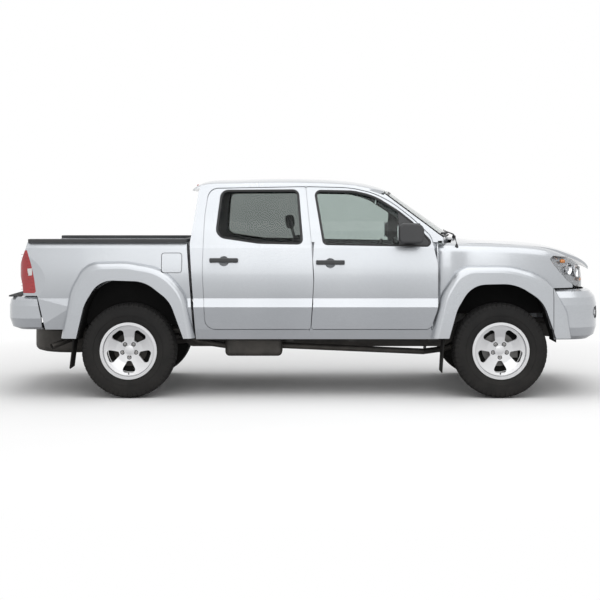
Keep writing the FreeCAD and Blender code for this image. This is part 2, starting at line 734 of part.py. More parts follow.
def build_grille():
    """Surround that follows the nose, an opening in it and slats across the opening."""
    half = out(grille_half_share)
    low = up(0.718)
    high = up(0.842)
    wall = grille_rim
    face = out(0.034)
    surround = swept(grille_path_shares, [(face, low), (face, high), (face + grille_depth, high),
                                          (face + grille_depth, low)])
    surround = surround.common(block(0, nose, -half, half, low, high))
    x = along(1.70)
    points = [Vec(x, -half + 2 * wall, low + wall), Vec(x, half - 2 * wall, low + wall),
              Vec(x, half - wall, high - wall), Vec(x, -half + wall, high - wall)]
    mouth = Part.Face(rounded(points, [wall] * 4)).extrude(Vec(front_overhang, 0, 0))
    slats = []
    pitch = (high - low - 2 * wall) / (slat_count + 1)
    for i in range(slat_count):
        z = low + wall + (i + 1) * pitch
        near = face + grille_inset
        corners = [(near, z - slat_height / 2), (near, z + slat_height / 2),
                   (near + slat_depth, z + slat_height / 2), (near + slat_depth, z - slat_height / 2)]
        slats.append(swept(grille_path_shares, corners))
    bars = block(0, nose, -half + wall / 2, half - wall / 2, low, high)
    return surround.cut(mouth).multiFuse([slat.common(bars) for slat in slats])


# Load bed
bed_side_shares = [(0.1544, 1.0358, 0), (0.1731, 0.4332, 0), (0.1588, 0.4332, 0.023), (0.1525, 0.4476, 0),
                   (-0.6575, 0.4476, 0), (-0.7216, 0.6677, 0), (-0.8333, 0.6677, 0),
                   (-0.8452, 0.7466, 0.061), (-0.8672, 0.8042, 0.091), (-0.8645, 0.8718, 0.091),
                   (-0.8168, 0.975, 0.046), (-0.8077, 1.0358, 0)]
tail_lamp_shares = [(-0.8059, 0.9651, 0), (-0.8993, 0.9651, 0), (-0.8993, 0.6851, 0), (-0.7308, 0.6851, 0.015), (-0.7463, 0.7785, 0.303),
                    (-0.7692, 0.8687, 0.303)]
gate_shares = [(-0.7784, 1.029, 0.008), (-0.7784, 0.6866, 0.005), (-0.8214, 0.6866, 0.008), (-0.8407, 0.7466, 0.061), (-0.8443, 0.8042, 0.114),
               (-0.8425, 0.8718, 0.114), (-0.8114, 0.975, 0.046), (-0.8059, 1.029, 0.008)]
fuel_flap_shares = [(0.0887, 0.9454, 0.017), (0.1419, 0.9454, 0.017), (0.1419, 0.8209, 0.017), (0.0887, 0.8209, 0.017)]
bed_rear_share = -0.8700
bed_front_inner_share = 0.1475
bed_floor_end_share = -0.7573


def bed_form(inset, top):
    """The left half of the bed's outer form, its faces moved in by an inset, up to a height."""
    outline = [(s, h if h > 0.5 or not inset else h / 2, r) for s, h, r in bed_side_shares]
    limits = side_prism(outline, 0, body_half_width, -inset)
    rear = along(bed_rear_share) + inset
    front = along(0.18)
    corners = [(rear, 0, 0), (rear, out(0.945) - inset, bed_corner_radius - inset),
               (along(-0.45), out(1.0) - inset, bed_corner_radius * 10), (front, out(1.0) - inset, 0),
               (front, 0, 0)]
    plan = plan_solid(corners, 0, top)
    return side_band(along(-0.95), front, inset, 2 * body_half_width).common(limits).common(plan)


def build_bed_half(ring):
    """Left half of the load bed: outer side, inner side, floor, wheel house, front wall and rear post."""
    wide = body_half_width + overrun
    outer = bed_form(0, bed_rim_height)
    shell_room = bed_form(panel, bed_rim_height - panel)
    x_front = along(bed_front_inner_share)
    x_end = along(bed_floor_end_share)
    floor_low = bed_floor_top - bed_floor
    side_room = shell_room.common(block(tail, 0, bed_wall_inner + sheet, wide, 0, bed_rim_height))
    under = block(tail, 0, 0, bed_wall_inner + sheet, 0, floor_low)
    cargo = block(tail, x_front, 0, bed_wall_inner, bed_floor_top, 2 * bed_rim_height)
    behind = block(tail, x_end, 0, bed_wall_inner, 0, bed_floor_top)
    half = outer.cut(side_room).cut(under).cut(cargo).cut(behind)
    inner_y = out(0.6188)
    house = arch_prism(rear_arch_shares, rear_axle, inner_y, bed_wall_inner + sheet, liner_gap + 2 * sheet)
    hollow = arch_prism(rear_arch_shares, rear_axle, inner_y + sheet, 2 * wide, liner_gap)
    foot = block(tail, 0, 0, wide, 0, floor_low)
    half = half.fuse(house.cut(foot)).cut(hollow.common(block(tail, 0, 0, bed_wall_inner + 2 * sheet, 0, wide + wide)))
    arch = arch_prism(rear_arch_shares, rear_axle, bed_wall_inner, 2 * wide)
    half = half.cut(arch).fuse(ring)
    return half


def build_load_bed():
    wide = body_half_width + overrun
    ring = flare(rear_flare_shares, rear_axle, out(0.93))
    ring = ring.cut(arch_prism(rear_arch_shares, rear_axle, 0, 2 * wide))
    half = build_bed_half(ring)
    lamp_zone = side_prism(tail_lamp_shares, gate_half + panel_gap + sheet, wide)
    lamp = bed_form(0, bed_rim_height).cut(bed_form(tail_lamp_depth, bed_rim_height)).common(lamp_zone)
    lamp = max(lamp.Solids, key=lambda solid: solid.Volume)
    room = side_prism(tail_lamp_shares, gate_half + panel_gap + sheet - running, wide, running)
    half = half.cut(room.cut(bed_form(tail_lamp_depth + running, bed_rim_height)))
    half = max(half.Solids, key=lambda solid: solid.Volume)
    bed = half.fuse(mirrored(half)).removeSplitter()
    pin = rod(Vec(gate_hinge_x, -wide, gate_hinge_z), Vec(gate_hinge_x, wide, gate_hinge_z),
              gate_pin + running)
    inner = block(tail, 0, -bed_wall_inner - sheet, bed_wall_inner + sheet, 0, belt_height)
    bed = bed.cut(pin.common(inner))
    flap_room = side_prism(fuel_flap_shares, -wide, -bed_wall_inner - 2 * sheet, panel_gap)
    bed = bed.cut(flap_room)
    flap = side_band(along(0.05), along(0.16), 0, sheet * 2).common(
        side_prism(fuel_flap_shares, 0, wide))
    return bed, lamp, mirrored(flap)


def build_tailgate():
    """Tailgate: a bowed pressing, hollow from below, that turns on a pin at each lower corner."""
    half = gate_half
    gate = side_prism(gate_shares, -half, half)
    hollow = side_prism(gate_shares, -half + panel, half - panel, -sheet * 1.5)
    low = block(tail, along(bed_floor_end_share), -half + panel, half - panel, 0, gate_hinge_z)
    gate = gate.cut(hollow)
    for side in (1, -1):
        start = Vec(gate_hinge_x, side * (half - panel), gate_hinge_z)
        end = Vec(gate_hinge_x, side * (half + panel_gap + sheet), gate_hinge_z)
        gate = gate.fuse(rod(start, end, gate_pin))
    return gate


def build_bed_rails():
    """Caps along the top of the bed's sides and front wall."""
    top = bed_rim_height + rail_cap
    rear = along(-0.8004)
    front = along(0.155)
    side = out(0.9481)
    inner = bed_wall_inner - sheet
    corners = [(rear, side, 20), (front, side, 20), (front, -side, 20), (rear, -side, 20),
               (rear, -inner, 8), (front - 2 * panel, -inner, 30), (front - 2 * panel, inner, 30),
               (rear, inner, 8)]
    caps = plan_solid(corners, bed_rim_height, top)
    return caps


# Chassis frame: side view of a rail, then cross pieces and brackets as boxes
rail_shares = [(1.8599, 0.4249, 0), (1.5043, 0.4552, 0.046), (1.3427, 0.4856, 0.046),
               (0.9181, 0.4856, 0.046), (0.8431, 0.3794, 0.061), (0.1728, 0.3794, 0.046),
               (0.115, 0.5766, 0.061), (-0.7619, 0.5766, 0), (-0.7619, 0.4932, 0), (0.0947, 0.4932, 0.046),
               (0.1525, 0.3035, 0.046), (0.8588, 0.3035, 0.061), (0.9244, 0.3945, 0.061),
               (1.3211, 0.3945, 0.046), (1.5043, 0.3718, 0.046), (1.8599, 0.3566, 0)]
cross_shares = [(1.7737, 1.8384, -0.463, 0.463, 0.3642, 0.4173),
                (1.3319, 1.4073, -0.463, 0.463, 0.3976, 0.4188),
                (0.7119, 0.7338, -0.463, 0.463, 0.305, 0.3414),
                (0.3681, 0.39, -0.463, -0.0663, 0.305, 0.3414),
                (0.3681, 0.39, 0.0663, 0.463, 0.305, 0.3414),
                (0.3681, 0.39, -0.1105, 0.1105, 0.2686, 0.3065),
                (0.09, 0.1119, -0.463, 0.463, 0.4947, 0.5615),
                (-0.3498, -0.2857, -0.463, 0.463, 0.4947, 0.5615),
                (-0.5696, -0.5055, -0.463, 0.463, 0.4947, 0.5615),
                (-0.7619, -0.6978, -0.463, 0.463, 0.5008, 0.569)]
bed_sill_shares = [(0.0838, 0.1119, -0.5967, 0.5967, 0.5728, 0.6624),
                   (-0.4048, -0.3498, -0.5967, 0.5967, 0.5766, 0.6624),
                   (-0.7299, -0.6795, -0.7735, 0.7735, 0.5766, 0.6624)]
cab_mount_shares = [(0.4244, 0.4431, 0.4696, 0.7735, 0.3566, 0.3945), (0.5931, 0.6119, 0.4696, 0.7735, 0.3566, 0.3945), (0.8119, 0.8306, 0.4696, 0.7735, 0.3566, 0.3945)]
arm_mount_shares = [(0.9313, 0.95, 0.4144, 0.4773, 0.3111, 0.3976), (1.1724, 1.2371, 0.4144, 0.4773, 0.3111, 0.3976)]
spring_mount_shares = [(-0.6154, -0.5604, 0.4586, 0.5378, 0.4476, 0.5311),
                       (0.1494, 0.1681, 0.4586, 0.5378, 0.3566, 0.4249)]
strut_mount_shares = [(0.9869, 1.0453, 0.442, 0.6519, 0.5675, 0.588), (0.9869, 1.0453, 0.442, 0.4696, 0.478, 0.588)]
bumper_arm_shares = [(1.8168, 1.8804, 0.3978, 0.463, 0.3642, 0.4173),
                     (-0.881, -0.7527, 0.3978, 0.463, 0.5008, 0.5615)]


def build_frame():
    """Ladder frame: two open rails, cross pieces, bed sills and brackets."""
    half = frame_rail_width / 2
    inner = frame_half_spacing - half
    outer = frame_half_spacing + half
    rail = side_prism(rail_shares, inner, outer)
    rail = rail.cut(side_prism(rail_shares, inner - sheet, outer - sheet, -sheet))
    pieces = both(rail) + boxes_at(cross_shares)
    brackets = cab_mount_shares + arm_mount_shares + spring_mount_shares + bumper_arm_shares
    for box in brackets + strut_mount_shares:
        pieces += both(box_at(box))
    return fuse(pieces + boxes_at(bed_sill_shares))


# Rear axle and springs
shaft_end_share = (0.6946, 0, 0.3756)
spring_shares = [(-0.5879, 0.5381, 0.4552), (-0.304, 0.5381, 0.3832), (0, 0.5381, 0.3536),
                 (0.0838, 0.5381, 0.3581), (0.1588, 0.5381, 0.3794)]


def build_rear_axle():
    """Axle tube, gear casing, brake drums, wheel spindles and the propeller shaft."""
    z = tyre_radius
    x = rear_axle
    pieces = [rod(Vec(x, -kingpin_half_track, z), Vec(x, kingpin_half_track, z), axle_tube_radius)]
    pieces.append(Part.makeSphere(diff_radius, Vec(x, 0, z)))
    pieces.append(rod(Vec(x - diff_radius * 0.6, 0, z), Vec(x + 1.6 * diff_radius, 0, z), diff_radius / 2))
    pieces.append(rod(Vec(x + 1.5 * diff_radius, 0, z), spot(shaft_end_share), shaft_radius))
    for side in (1, -1):
        inner = side * (wheel_y - tyre_width / 2 + panel_gap)
        drum = side * (wheel_y - hub_inset - panel_gap)
        pieces.append(rod(Vec(x, inner, z), Vec(x, drum, z), drum_radius))
        pieces.append(rod(Vec(x, 0, z), Vec(x, side * spindle_end, z), spindle_radius))
        pieces.append(box_at((-0.0641, 0.0219, side * 0.5746 - 0.0354, side * 0.5746 + 0.0354,
                              0.2883, 0.3505)))
    return fuse(pieces)


def build_leaf_springs():
    """Two leaf springs with eyes, clamped over the axle tube."""
    points = [spot(place) for place in spring_shares]
    thick = leaf_thick
    upper = [p + Vec(0, 0, thick) for p in points]
    edges = [spline(points), Part.makeLine(points[-1], upper[-1]), spline(upper[::-1]),
             Part.makeLine(upper[0], points[0])]
    leaf = Part.Face(Part.Wire(edges)).extrude(Vec(0, leaf_width, 0))
    short = leaf.common(block(rear_axle - wheelbase / 8, rear_axle + wheelbase / 8, 0, body_half_width, 0,
                              belt_height))
    short.translate(Vec(0, 0, thick))
    eyes = []
    for p in (points[0], points[-1]):
        centre = p + Vec(0, 0, thick / 2)
        eyes.append(rod(centre, centre + Vec(0, leaf_width, 0), thick * 1.4))
    spring = fuse([leaf, short] + eyes)
    return both(spring)


# Front suspension: arm ends as shares, left side
upper_arm_shares = [(0.9531, 0.442, 0.4363), (1.1616, 0.442, 0.4363)]
lower_arm_shares = [(0.9406, 0.442, 0.3338), (1.2047, 0.442, 0.3338)]
strut_shares = [(1, 0.6188, 0.2656), (1, 0.5967, 0.5842)]


def build_front_suspension():
    """Upper and lower arms with the eyes that hold each kingpin, and the strut."""
    pieces = []
    for ends, z0, z1 in ((upper_arm_shares, upper_eye_z, upper_eye_z + eye_height),
                         (lower_arm_shares, lower_eye_z - eye_height, lower_eye_z)):
        middle = Vec(front_axle, kingpin_half_track - eye_radius / 2, (z0 + z1) / 2)
        for place in ends:
            pieces.append(rod(spot(place), middle, arm_radius))
        pieces.append(Part.makeCylinder(eye_radius, eye_height, Vec(front_axle, kingpin_half_track, z0)))
    low, high = [spot(place) for place in strut_shares]
    tie = Vec(drum_radius * 0.6, 0, eye_radius / 3)
    pieces.append(rod(low - Vec(tie.x, 0, -tie.z), low + tie, arm_radius))
    pieces.append(rod(low - Vec(0, 0, eye_height), high, spindle_radius))
    way = high - low
    pieces.append(rod(low + way * 0.35, low + way * 0.92, strut_radius))
    arm = fuse(pieces)
    bore = Part.makeCylinder(kingpin_radius + running, belt_height, Vec(front_axle, kingpin_half_track, 0))
    arm = arm.cut(bore).cut(block(0, nose, 0, frame_half_spacing + frame_rail_width / 2 + running, 0,
                                  strut_top_z))
    arm = arm.cut(block(0, nose, 0, out(arm_mount_shares[0][3]) + running, 0, up(arm_mount_shares[0][5])))
    return arm.cut(block(0, nose, 0, body_half_width, strut_top_z, belt_height))


def build_knuckle():
    """Left knuckle: upright on two kingpin ends, spindle, brake disc with its calliper, steering arm."""
    x = front_axle
    y = kingpin_half_track
    z = tyre_radius
    low = lower_eye_z + 3 * panel_gap
    high = upper_eye_z - 3 * panel_gap
    half = eye_radius
    pieces = [block(x - half, x + half, y - half, y + half, low, high)]
    pin_low = lower_eye_z - eye_height
    pieces.append(Part.makeCylinder(kingpin_radius, upper_eye_z + eye_height - pin_low, Vec(x, y, pin_low)))
    pieces.append(rod(Vec(x, y, z), Vec(x, spindle_end, z), spindle_radius))
    disc_end = wheel_y - hub_inset - panel_gap
    pieces.append(rod(Vec(x, disc_end - disc_thick, z), Vec(x, disc_end, z), drum_radius))
    pieces.append(rod(Vec(x, y, z), Vec(x, disc_end, z), drum_radius / 2))
    pieces.append(block(x + drum_radius * 0.55, x + drum_radius * 1.15, disc_end - 3 * disc_thick,
                        disc_end, z - drum_radius / 2, z + drum_radius / 2))
    pieces.append(rod(Vec(x, y, z - eye_radius), Vec(x - drum_radius, y - eye_radius, z - eye_radius),
                      arm_radius))
    return fuse(pieces)


# Wheels: outlines as shares of the rim radius and of half the tyre's width
tyre_outline_shares = [(1.0, 0.86), (1.07, 0.865), (1.13, 0.93), (1.35, 1.0), (1.52, 0.985), (1.66, 0.91), (1.735, 0.78),
                       (1.766, 0.62), (1.766, 0.0)]
tyre_inside_shares = [(1.10, 0.80), (1.35, 0.90), (1.55, 0.86), (1.66, 0.70), (1.68, 0.0)]
rim_outline_shares = [(1.0, 0.84), (1.0, 0.60), (0.93, 0.50), (0.93, -0.60), (1.0, -0.66), (1.0, -0.84),
                      (0.965, -0.84), (0.965, -0.70), (0.895, -0.62), (0.895, 0.52), (0.955, 0.62),
                      (0.955, 0.93)]
rim_face_shares = [(0.10, 0.36), (0.50, 0.44), (0.80, 0.62), (0.93, 0.66), (0.93, 0.50), (0.80, 0.40),
                   (0.50, 0.16), (0.36, 0.0), (0.36, -0.16), (0.10, -0.16)]


def build_tyre():
    half = tyre_width / 2
    outer = [(r * rim_radius, a * half) for r, a in tyre_outline_shares]
    outer += [(r, -a) for r, a in outer[:-1][::-1]]
    inner = [(r * rim_radius, a * half) for r, a in tyre_inside_shares]
    inner += [(r, -a) for r, a in inner[:-1][::-1]]
    points = outer + inner[::-1]
    return lathe(points, 0, 0, 0)


def build_rim():
    """Wheel rim with five broad spokes, a hub bored for the spindle and holes for the wheel nuts."""
    half = tyre_width / 2
    barrel = [(r * rim_radius, a * half) for r, a in rim_outline_shares]
    flange = rim_flange_radius
    lip = half * 0.93
    barrel += [(flange, lip), (flange, lip - sheet), (rim_radius * 1.02, lip - sheet), (rim_radius, half * 0.86)]
    rim = lathe(barrel, 0, 0, 0)
    face = lathe([(r * rim_radius, a * half) for r, a in rim_face_shares], 0, 0, 0)
    window = [(0.40, 10), (0.88, 21), (0.88, -21), (0.40, -10)]
    corners = []
    for r, angle in window:
        turn = math.radians(angle)
        corners.append(Vec(rim_radius * r * math.sin(turn), -half, rim_radius * r * math.cos(turn)))
    hole = Part.Face(rounded(corners, [14.0, 26.0, 26.0, 14.0])).extrude(Vec(0, 2 * half, 0))
    for i in range(spoke_count):
        turned = hole.copy()
        turned.rotate(Vec(0, 0, 0), Vec(0, 1, 0), (i + 0.5) * 360 / spoke_count)
        face = face.cut(turned)
    for i in range(lug_count):
        turn = 2 * math.pi * (i + 0.5) / lug_count
        centre = Vec(lug_circle_radius * math.sin(turn), -half, lug_circle_radius * math.cos(turn))
        face = face.cut(rod(centre, centre + Vec(0, 2 * half, 0), lug_hole))
    rim = rim.fuse(face)
    cap = lathe([(0, 0.40 * half), (0.22 * rim_radius, 0.40 * half), (0.22 * rim_radius, 0.30 * half),
                 (0, 0.30 * half)], 0, 0, 0)
    rim = rim.fuse(cap)
    bore = rod(Vec(0, -half, 0), Vec(0, spindle_end - wheel_y + running, 0), spindle_radius + running)
    return rim.cut(bore)


# Engine, drive and other parts under the truck
engine_shares = [(0.9119, 1.3966, -0.2541, 0.2541, 0.4249, 0.7587), (0.9056, 1.4289, -0.2873, 0.2873, 0.7284, 0.8346), (0.8806, 0.9181, -0.221, 0.221, 0.3263, 0.5766),
                 (0.6994, 0.8869, -0.1436, 0.1436, 0.3452, 0.5235), (0.9431, 1.2349, -0.1989, 0.1989, 0.3263, 0.4401)]
tank_shares = (0.2087, 0.49, 0.4972, 0.8729, 0.2504, 0.3505)
muffler_shares = (0.2556, 0.4119, -0.7735, -0.5304, 0.258, 0.3869)
pipe_shares = [(0.9181, -0.3315, 0.3263), (0.865, -0.3315, 0.2769), (0.8025, -0.5304, 0.2731),
               (0.4119, -0.6519, 0.3225), (0.2556, -0.6519, 0.3225), (0.1806, -0.663, 0.3505),
               (0.1275, -0.6685, 0.4249), (-0.2582, -0.6685, 0.4249), (-0.4048, -0.6685, 0.3945),
               (-0.5147, -0.7956, 0.3642), (-0.6108, -0.884, 0.3338)]
spare_shares = (-0.5375, 0, 0.3452)
radiator_shares = [(1.6336, 1.6875, -0.4199, 0.4199, 0.4552, 0.8422),
                   (1.6875, 1.7144, -0.6188, 0.6188, 0.8042, 0.8422),
                   (1.6875, 1.7144, -0.6188, 0.6188, 0.5008, 0.5311),
                   (1.6067, 1.7144, -0.6188, -0.6122, 0.5008, 0.8422),
                   (1.6067, 1.7144, 0.6122, 0.6188, 0.5008, 0.8422),
                   (1.6875, 1.7144, -0.4641, 0.4641, 0.4401, 0.5311),
                   (1.6067, 1.6131, 0.6122, 0.7094, 0.7284, 0.8422),
                   (1.6067, 1.6131, -0.7094, -0.6122, 0.7284, 0.8422)]
apron_shares = [(0.8344, 1.5043, 0.7028, 0.7094, 0.7284, 0.9196),
                (1.4504, 1.6131, 0.7028, 0.7094, 0.7284, 0.8422),
                (0.8344, 1.5043, 0.6188, 0.7094, 0.915, 0.9196)]


def build_exhaust():
    points = [spot(place) for place in pipe_shares]
    pieces = [soft_box(muffler_shares, muffler_round)]
    for a, b in zip(points, points[1:]):
        pieces.append(rod(a, b, pipe_radius))
        pieces.append(Part.makeSphere(pipe_radius, b))
    tip = points[-1]
    way = (tip - points[-2]).normalize()
    pipe = fuse(pieces)
    return pipe.cut(rod(tip - way * fog_radius, tip + way * fog_radius, pipe_radius - sheet / 3))


def build_spare():
    spare = build_tyre()
    spare.rotate(Vec(0, 0, 0), Vec(1, 0, 0), 90)
    spare.scale(spare_scale)
    disc = Part.makeCylinder(rim_radius * spare_scale, sheet * 2)
    reach = up(0.4945) - up(spare_shares[2])
    disc = disc.fuse(Part.makeCylinder(spindle_radius, reach))
    spare = spare.fuse(disc)
    spare.translate(spot(spare_shares))
    return spare


def build_engine_bay():
    """Inner wings, radiator with its frame, battery and air box, each standing on its neighbour."""
    liner = arch_prism(front_arch_shares, front_axle, 0, body_half_width, liner_gap + sheet)
    aprons = []
    for box in apron_shares:
        aprons += both(box_at(box).cut(liner))
    return fuse(boxes_at(radiator_shares) + aprons)


def build_liners():
    y0 = out(0.5193)
    y1 = out(0.8906)
    liner = arch_prism(front_arch_shares, front_axle, y0, y1, liner_gap + sheet)
    liner = liner.cut(arch_prism(front_arch_shares, front_axle, 0, 2 * y1, liner_gap))
    ahead = block(along(1.3966), nose, out(0.8619), body_half_width, 0, up(0.5311))
    return liner.cut(ahead).cut(block(0, nose, 0, body_half_width, 0, up(0.3566)))


flap_front_shares = [(0.8488, 0.3915, 0), (0.8425, 0.1684, 0), (0.84, 0.1684, 0), (0.8456, 0.3915, 0)]
flap_rear_shares = [(-0.4249, 0.4469, 0), (-0.4615, 0.1988, 0), (-0.4542, 0.1942, 0), (-0.4158, 0.4469, 0)]


def build_mud_flaps():
    flaps = []
    for shares in (flap_front_shares, flap_rear_shares):
        flaps += both(side_prism(shares, out(0.7624), out(1.011)))
    return flaps


# Cab inside: floor, bulkhead, cowl, dashboard and places
floor_shares = (0.1822, 0.8328, -0.884, 0.884, 0.3945, 0.4135)
tunnel_shares = (0.4744, 0.8328, -0.2099, 0.2099, 0.3945, 0.5463)
bulkhead_shares = (0.8274, 0.8328, -0.884, 0.884, 0.3945, 1.046)
dash_shares = [(0.8258, 1.0579, 0), (0.8258, 0.6677, 0), (0.79, 0.6525, 0.03), (0.765, 0.7436, 0.046),
               (0.7431, 0.9029, 0.046), (0.7556, 0.9788, 0.038), (0.79, 1.046, 0.046)]
console_shares = [(0.815, 0.5465, 0), (0.5056, 0.5465, 0), (0.5056, 0.6525, 0.023), (0.5775, 0.6677, 0.03),
                  (0.6494, 0.6146, 0.046), (0.765, 0.6829, 0), (0.815, 0.6829, 0)]
seat_base_shares = [(0.6744, 0.5508, 0.038), (0.5025, 0.5508, 0.03), (0.5025, 0.6373, 0.038),
                    (0.6494, 0.6563, 0.038), (0.6744, 0.6411, 0.03)]
seat_back_shares = [(0.5275, 0.5766, 0.03), (0.4931, 0.5994, 0.03), (0.4275, 1.1227, 0.03), (0.4556, 1.1738, 0.03), (0.4931, 0.8725, 0.152)]
seat_frame_shares = (0.515, 0.6494, -0.1934, 0.1934, 0.4137, 0.5524)
head_shares = [(0.4462, 1.2078, 0.023), (0.4244, 1.2078, 0.023), (0.4166, 1.4463, 0.03), (0.4431, 1.4549, 0.03)]
head_post_shares = (0.4338, 0.4375, -0.0663, -0.053, 1.1056, 1.2419)
bench_base_shares = [(0.3806, 0.5311, 0.038), (0.2056, 0.5311, 0.03), (0.2056, 0.6373, 0.046), (0.3556, 0.6563, 0.046), (0.3806, 0.6373, 0.03)]
bench_back_shares = [(0.2494, 0.5918, 0.03), (0.2056, 0.5918, 0.03), (0.1791, 1.0375, 0.03), (0.2087, 1.0716, 0.03)]
bench_frame_shares = (0.2119, 0.3681, -0.663, 0.663, 0.4137, 0.5349)


def inside_cab(shape, depth):
    """The part of a shape that lies inboard of the cab's side frames."""
    tool = side_band(along(0), along(1), -body_half_width, depth)
    return shape.cut(tool).cut(mirrored(tool))


def build_cab_floor(wall):
    """Floor with its tunnel, and the bulkhead ahead of it."""
    tunnel = box_at(tunnel_shares)
    x0, x1, y0, y1, z0, z1 = tunnel_shares
    hollow = block(along(x0) - sheet, along(x1) + sheet, out(y0) + sheet, out(y1) - sheet, 0, up(z1) - sheet)
    floor = box_at(floor_shares).fuse(tunnel).fuse(box_at(bulkhead_shares)).cut(hollow)
    return inside_cab(floor, side_depth).cut(wall)


def build_dashboard():
    dash = side_prism(dash_shares, -body_half_width, body_half_width)
    dash = inside_cab(dash, side_depth + panel_gap)
    console = side_prism(console_shares, out(-0.1105), out(0.1105))
    return dash.fuse(console)


def cushion(shares, centre, half, radius):
    """An upholstered block: a side-view outline carried across, its long edges already round."""
    return side_prism(shares, centre - half, centre + half)


def build_seats():
    seats = []
    half = out(0.2597)
    for side in (1, -1):
        centre = side * out(0.4309)
        pieces = [cushion(seat_base_shares, centre, half, 0), cushion(seat_back_shares, centre, half, 0)]
        pieces.append(cushion(head_shares, centre, half / 2, 0))
        frame = box_at(seat_frame_shares)
        frame.translate(Vec(0, centre, 0))
        pieces.append(frame)
        for shift in (0, 2 * out(0.0597)):
            post = box_at(head_post_shares)
            post.translate(Vec(0, centre + shift, 0))
            pieces.append(post)
        seats.append(fuse(pieces))
    wide = out(0.7072)
    bench = [cushion(bench_base_shares, 0, wide, 0), cushion(bench_back_shares, 0, wide, 0),
             box_at(bench_frame_shares)]
    seats.append(fuse(bench))
    return seats


# Steering wheel: centre and column foot as shares
wheel_centre_shares = (0.6744, 0.4144, 0.8839)
column_foot_shares = (0.7556, 0.4144, 0.7815)


def build_steering_wheel():
    """Rim, hub and spokes of the steering wheel, on a shaft that ends in the column's socket."""
    centre = spot(wheel_centre_shares)
    foot = spot(column_foot_shares)
    way = (foot - centre).normalize()
    ring = Part.makeTorus(hand_wheel_radius, hand_wheel_grip, centre, way)
    pieces = [ring, rod(centre - way * hand_wheel_grip, centre + way * 3 * hand_wheel_grip, hub_radius)]
    pieces.append(rod(centre, centre + way * column_reach, column_radius))
    across = way.cross(Vec(0, 1, 0)).normalize()
    for tip in (Vec(0, 1, 0), Vec(0, -1, 0), across * (1 if across.z < 0 else -1)):
        pieces.append(rod(centre, centre + tip * hand_wheel_radius, hand_wheel_grip * 0.7))
    return fuse(pieces)


def build_column():
    """Socket for the steering shaft, reaching into the dashboard."""
    centre = spot(wheel_centre_shares)
    way = (spot(column_foot_shares) - centre).normalize()
    near = centre + way * (4 * hand_wheel_grip)
    socket = rod(near, centre + way * column_reach * 2.2, column_radius * 2)
    bore = rod(centre, centre + way * (column_reach + running), column_radius + running)
    return socket.cut(bore)


# Door fittings
mirror_shares = [(0.7909, 1.3101, 0.046), (0.7884, 1.0341, 0.03), (0.7244, 1.0341, 0.03), (0.7219, 1.2589, 0.046), (0.7338, 1.3254, 0.038)]
mirror_arm_shares = (0.74, 0.7712, 0.8729, 1.0884, 1.0460, 1.1141)
handle_cup_radius = 44.0
handle_cup_depth = 12.0
handle_shares = {"front": (0.5038, 0.5809, 0, 0.0011, 0.8725, 0.9014), "rear": (0.2172, 0.2941, 0, 0.0011, 0.8862, 0.915)}


def handle_cup(box):
    """A ball that presses the round finger cup into the door's skin behind a handle."""
    x0, x1, y0, y1, z0, z1 = box
    z = (up(z0) + up(z1)) / 2
    ball = (handle_cup_radius ** 2 + handle_cup_depth ** 2) / (2 * handle_cup_depth)
    place = Vec((along(x0) + along(x1)) / 2, side_y(z) - handle_cup_depth + ball, z)
    return Part.makeSphere(ball, place)


def build_handle(box):
    """Pull handle standing off the door's skin on two feet."""
    x0, x1, y0, y1, z0, z1 = box
    z = (up(z0) + up(z1)) / 2
    face = side_y(z)
    x_low = along(x0)
    x_high = along(x1)
    bar = block(x_low, x_high, face + handle_stand, face + handle_stand + handle_thick, up(z0), up(z1))
    bar = bar.makeFillet(handle_thick * 0.45, bar.Edges)
    foot = handle_thick * 2
    feet = [block(x, x + foot, face - 3 * running, face + handle_stand + handle_thick / 2,
                  up(z0) + panel_gap, up(z1) - panel_gap) for x in (x_low + panel_gap, x_high - foot - panel_gap)]
    shape = fuse([bar] + feet)
    return shape.cut(side_band(x_low - overrun, x_high + overrun, 0, door_depth))


def build_mirror():
    """Door mirror: black sail plate over the window's front corner, arm and rounded head."""
    head = side_prism(mirror_shares, out(1.0497), out(1.1878))
    head = head.makeFillet(mirror_round, head.Edges)
    arm = box_at(mirror_arm_shares)
    wide = body_half_width + overrun
    zone = side_prism(sail_shares, 0, wide).common(side_prism(front_window_shares, 0, wide, -running))
    sail = side_band(along(0.6), along(0.9), 0, panel).common(zone)
    arm = arm.cut(side_band(along(0.6), along(0.9), panel / 2, side_depth))
    return sail.fuse(head).fuse(arm)


roof_stations_shares = [(0.166, 1.855, 1.80), (0.187, 1.935, 1.845), (0.25, 1.98, 1.872), (0.38, 2.0, 1.878),
                        (0.50, 1.993, 1.875), (0.60, 1.958, 1.842), (0.67, 1.885, 1.762), (0.712, 1.80, 1.66)]


def roof_section(x, centre, rail, thick):
    half = side_y(rail)
    shape_shares = [(1.0, 0.0), (0.966, 0.32), (0.88, 0.56), (0.70, 0.77), (0.4, 0.935), (0.0, 1.0)]
    left = [Vec(x, half * a, rail + (centre - rail) * b) for a, b in shape_shares]
    top = left + [Vec(p.x, -p.y, p.z) for p in left[:-1][::-1]]
    inner_half = half - 1.6 * thick
    inner = [Vec(x, inner_half * a, rail + (centre - thick - rail) * b) for a, b in shape_shares]
    low = inner + [Vec(p.x, -p.y, p.z) for p in inner[:-1][::-1]]
    low = low[::-1]
    edges = [spline(top), Part.makeLine(top[-1], low[0]), spline(low), Part.makeLine(low[-1], top[0])]
    return Part.Wire(edges)


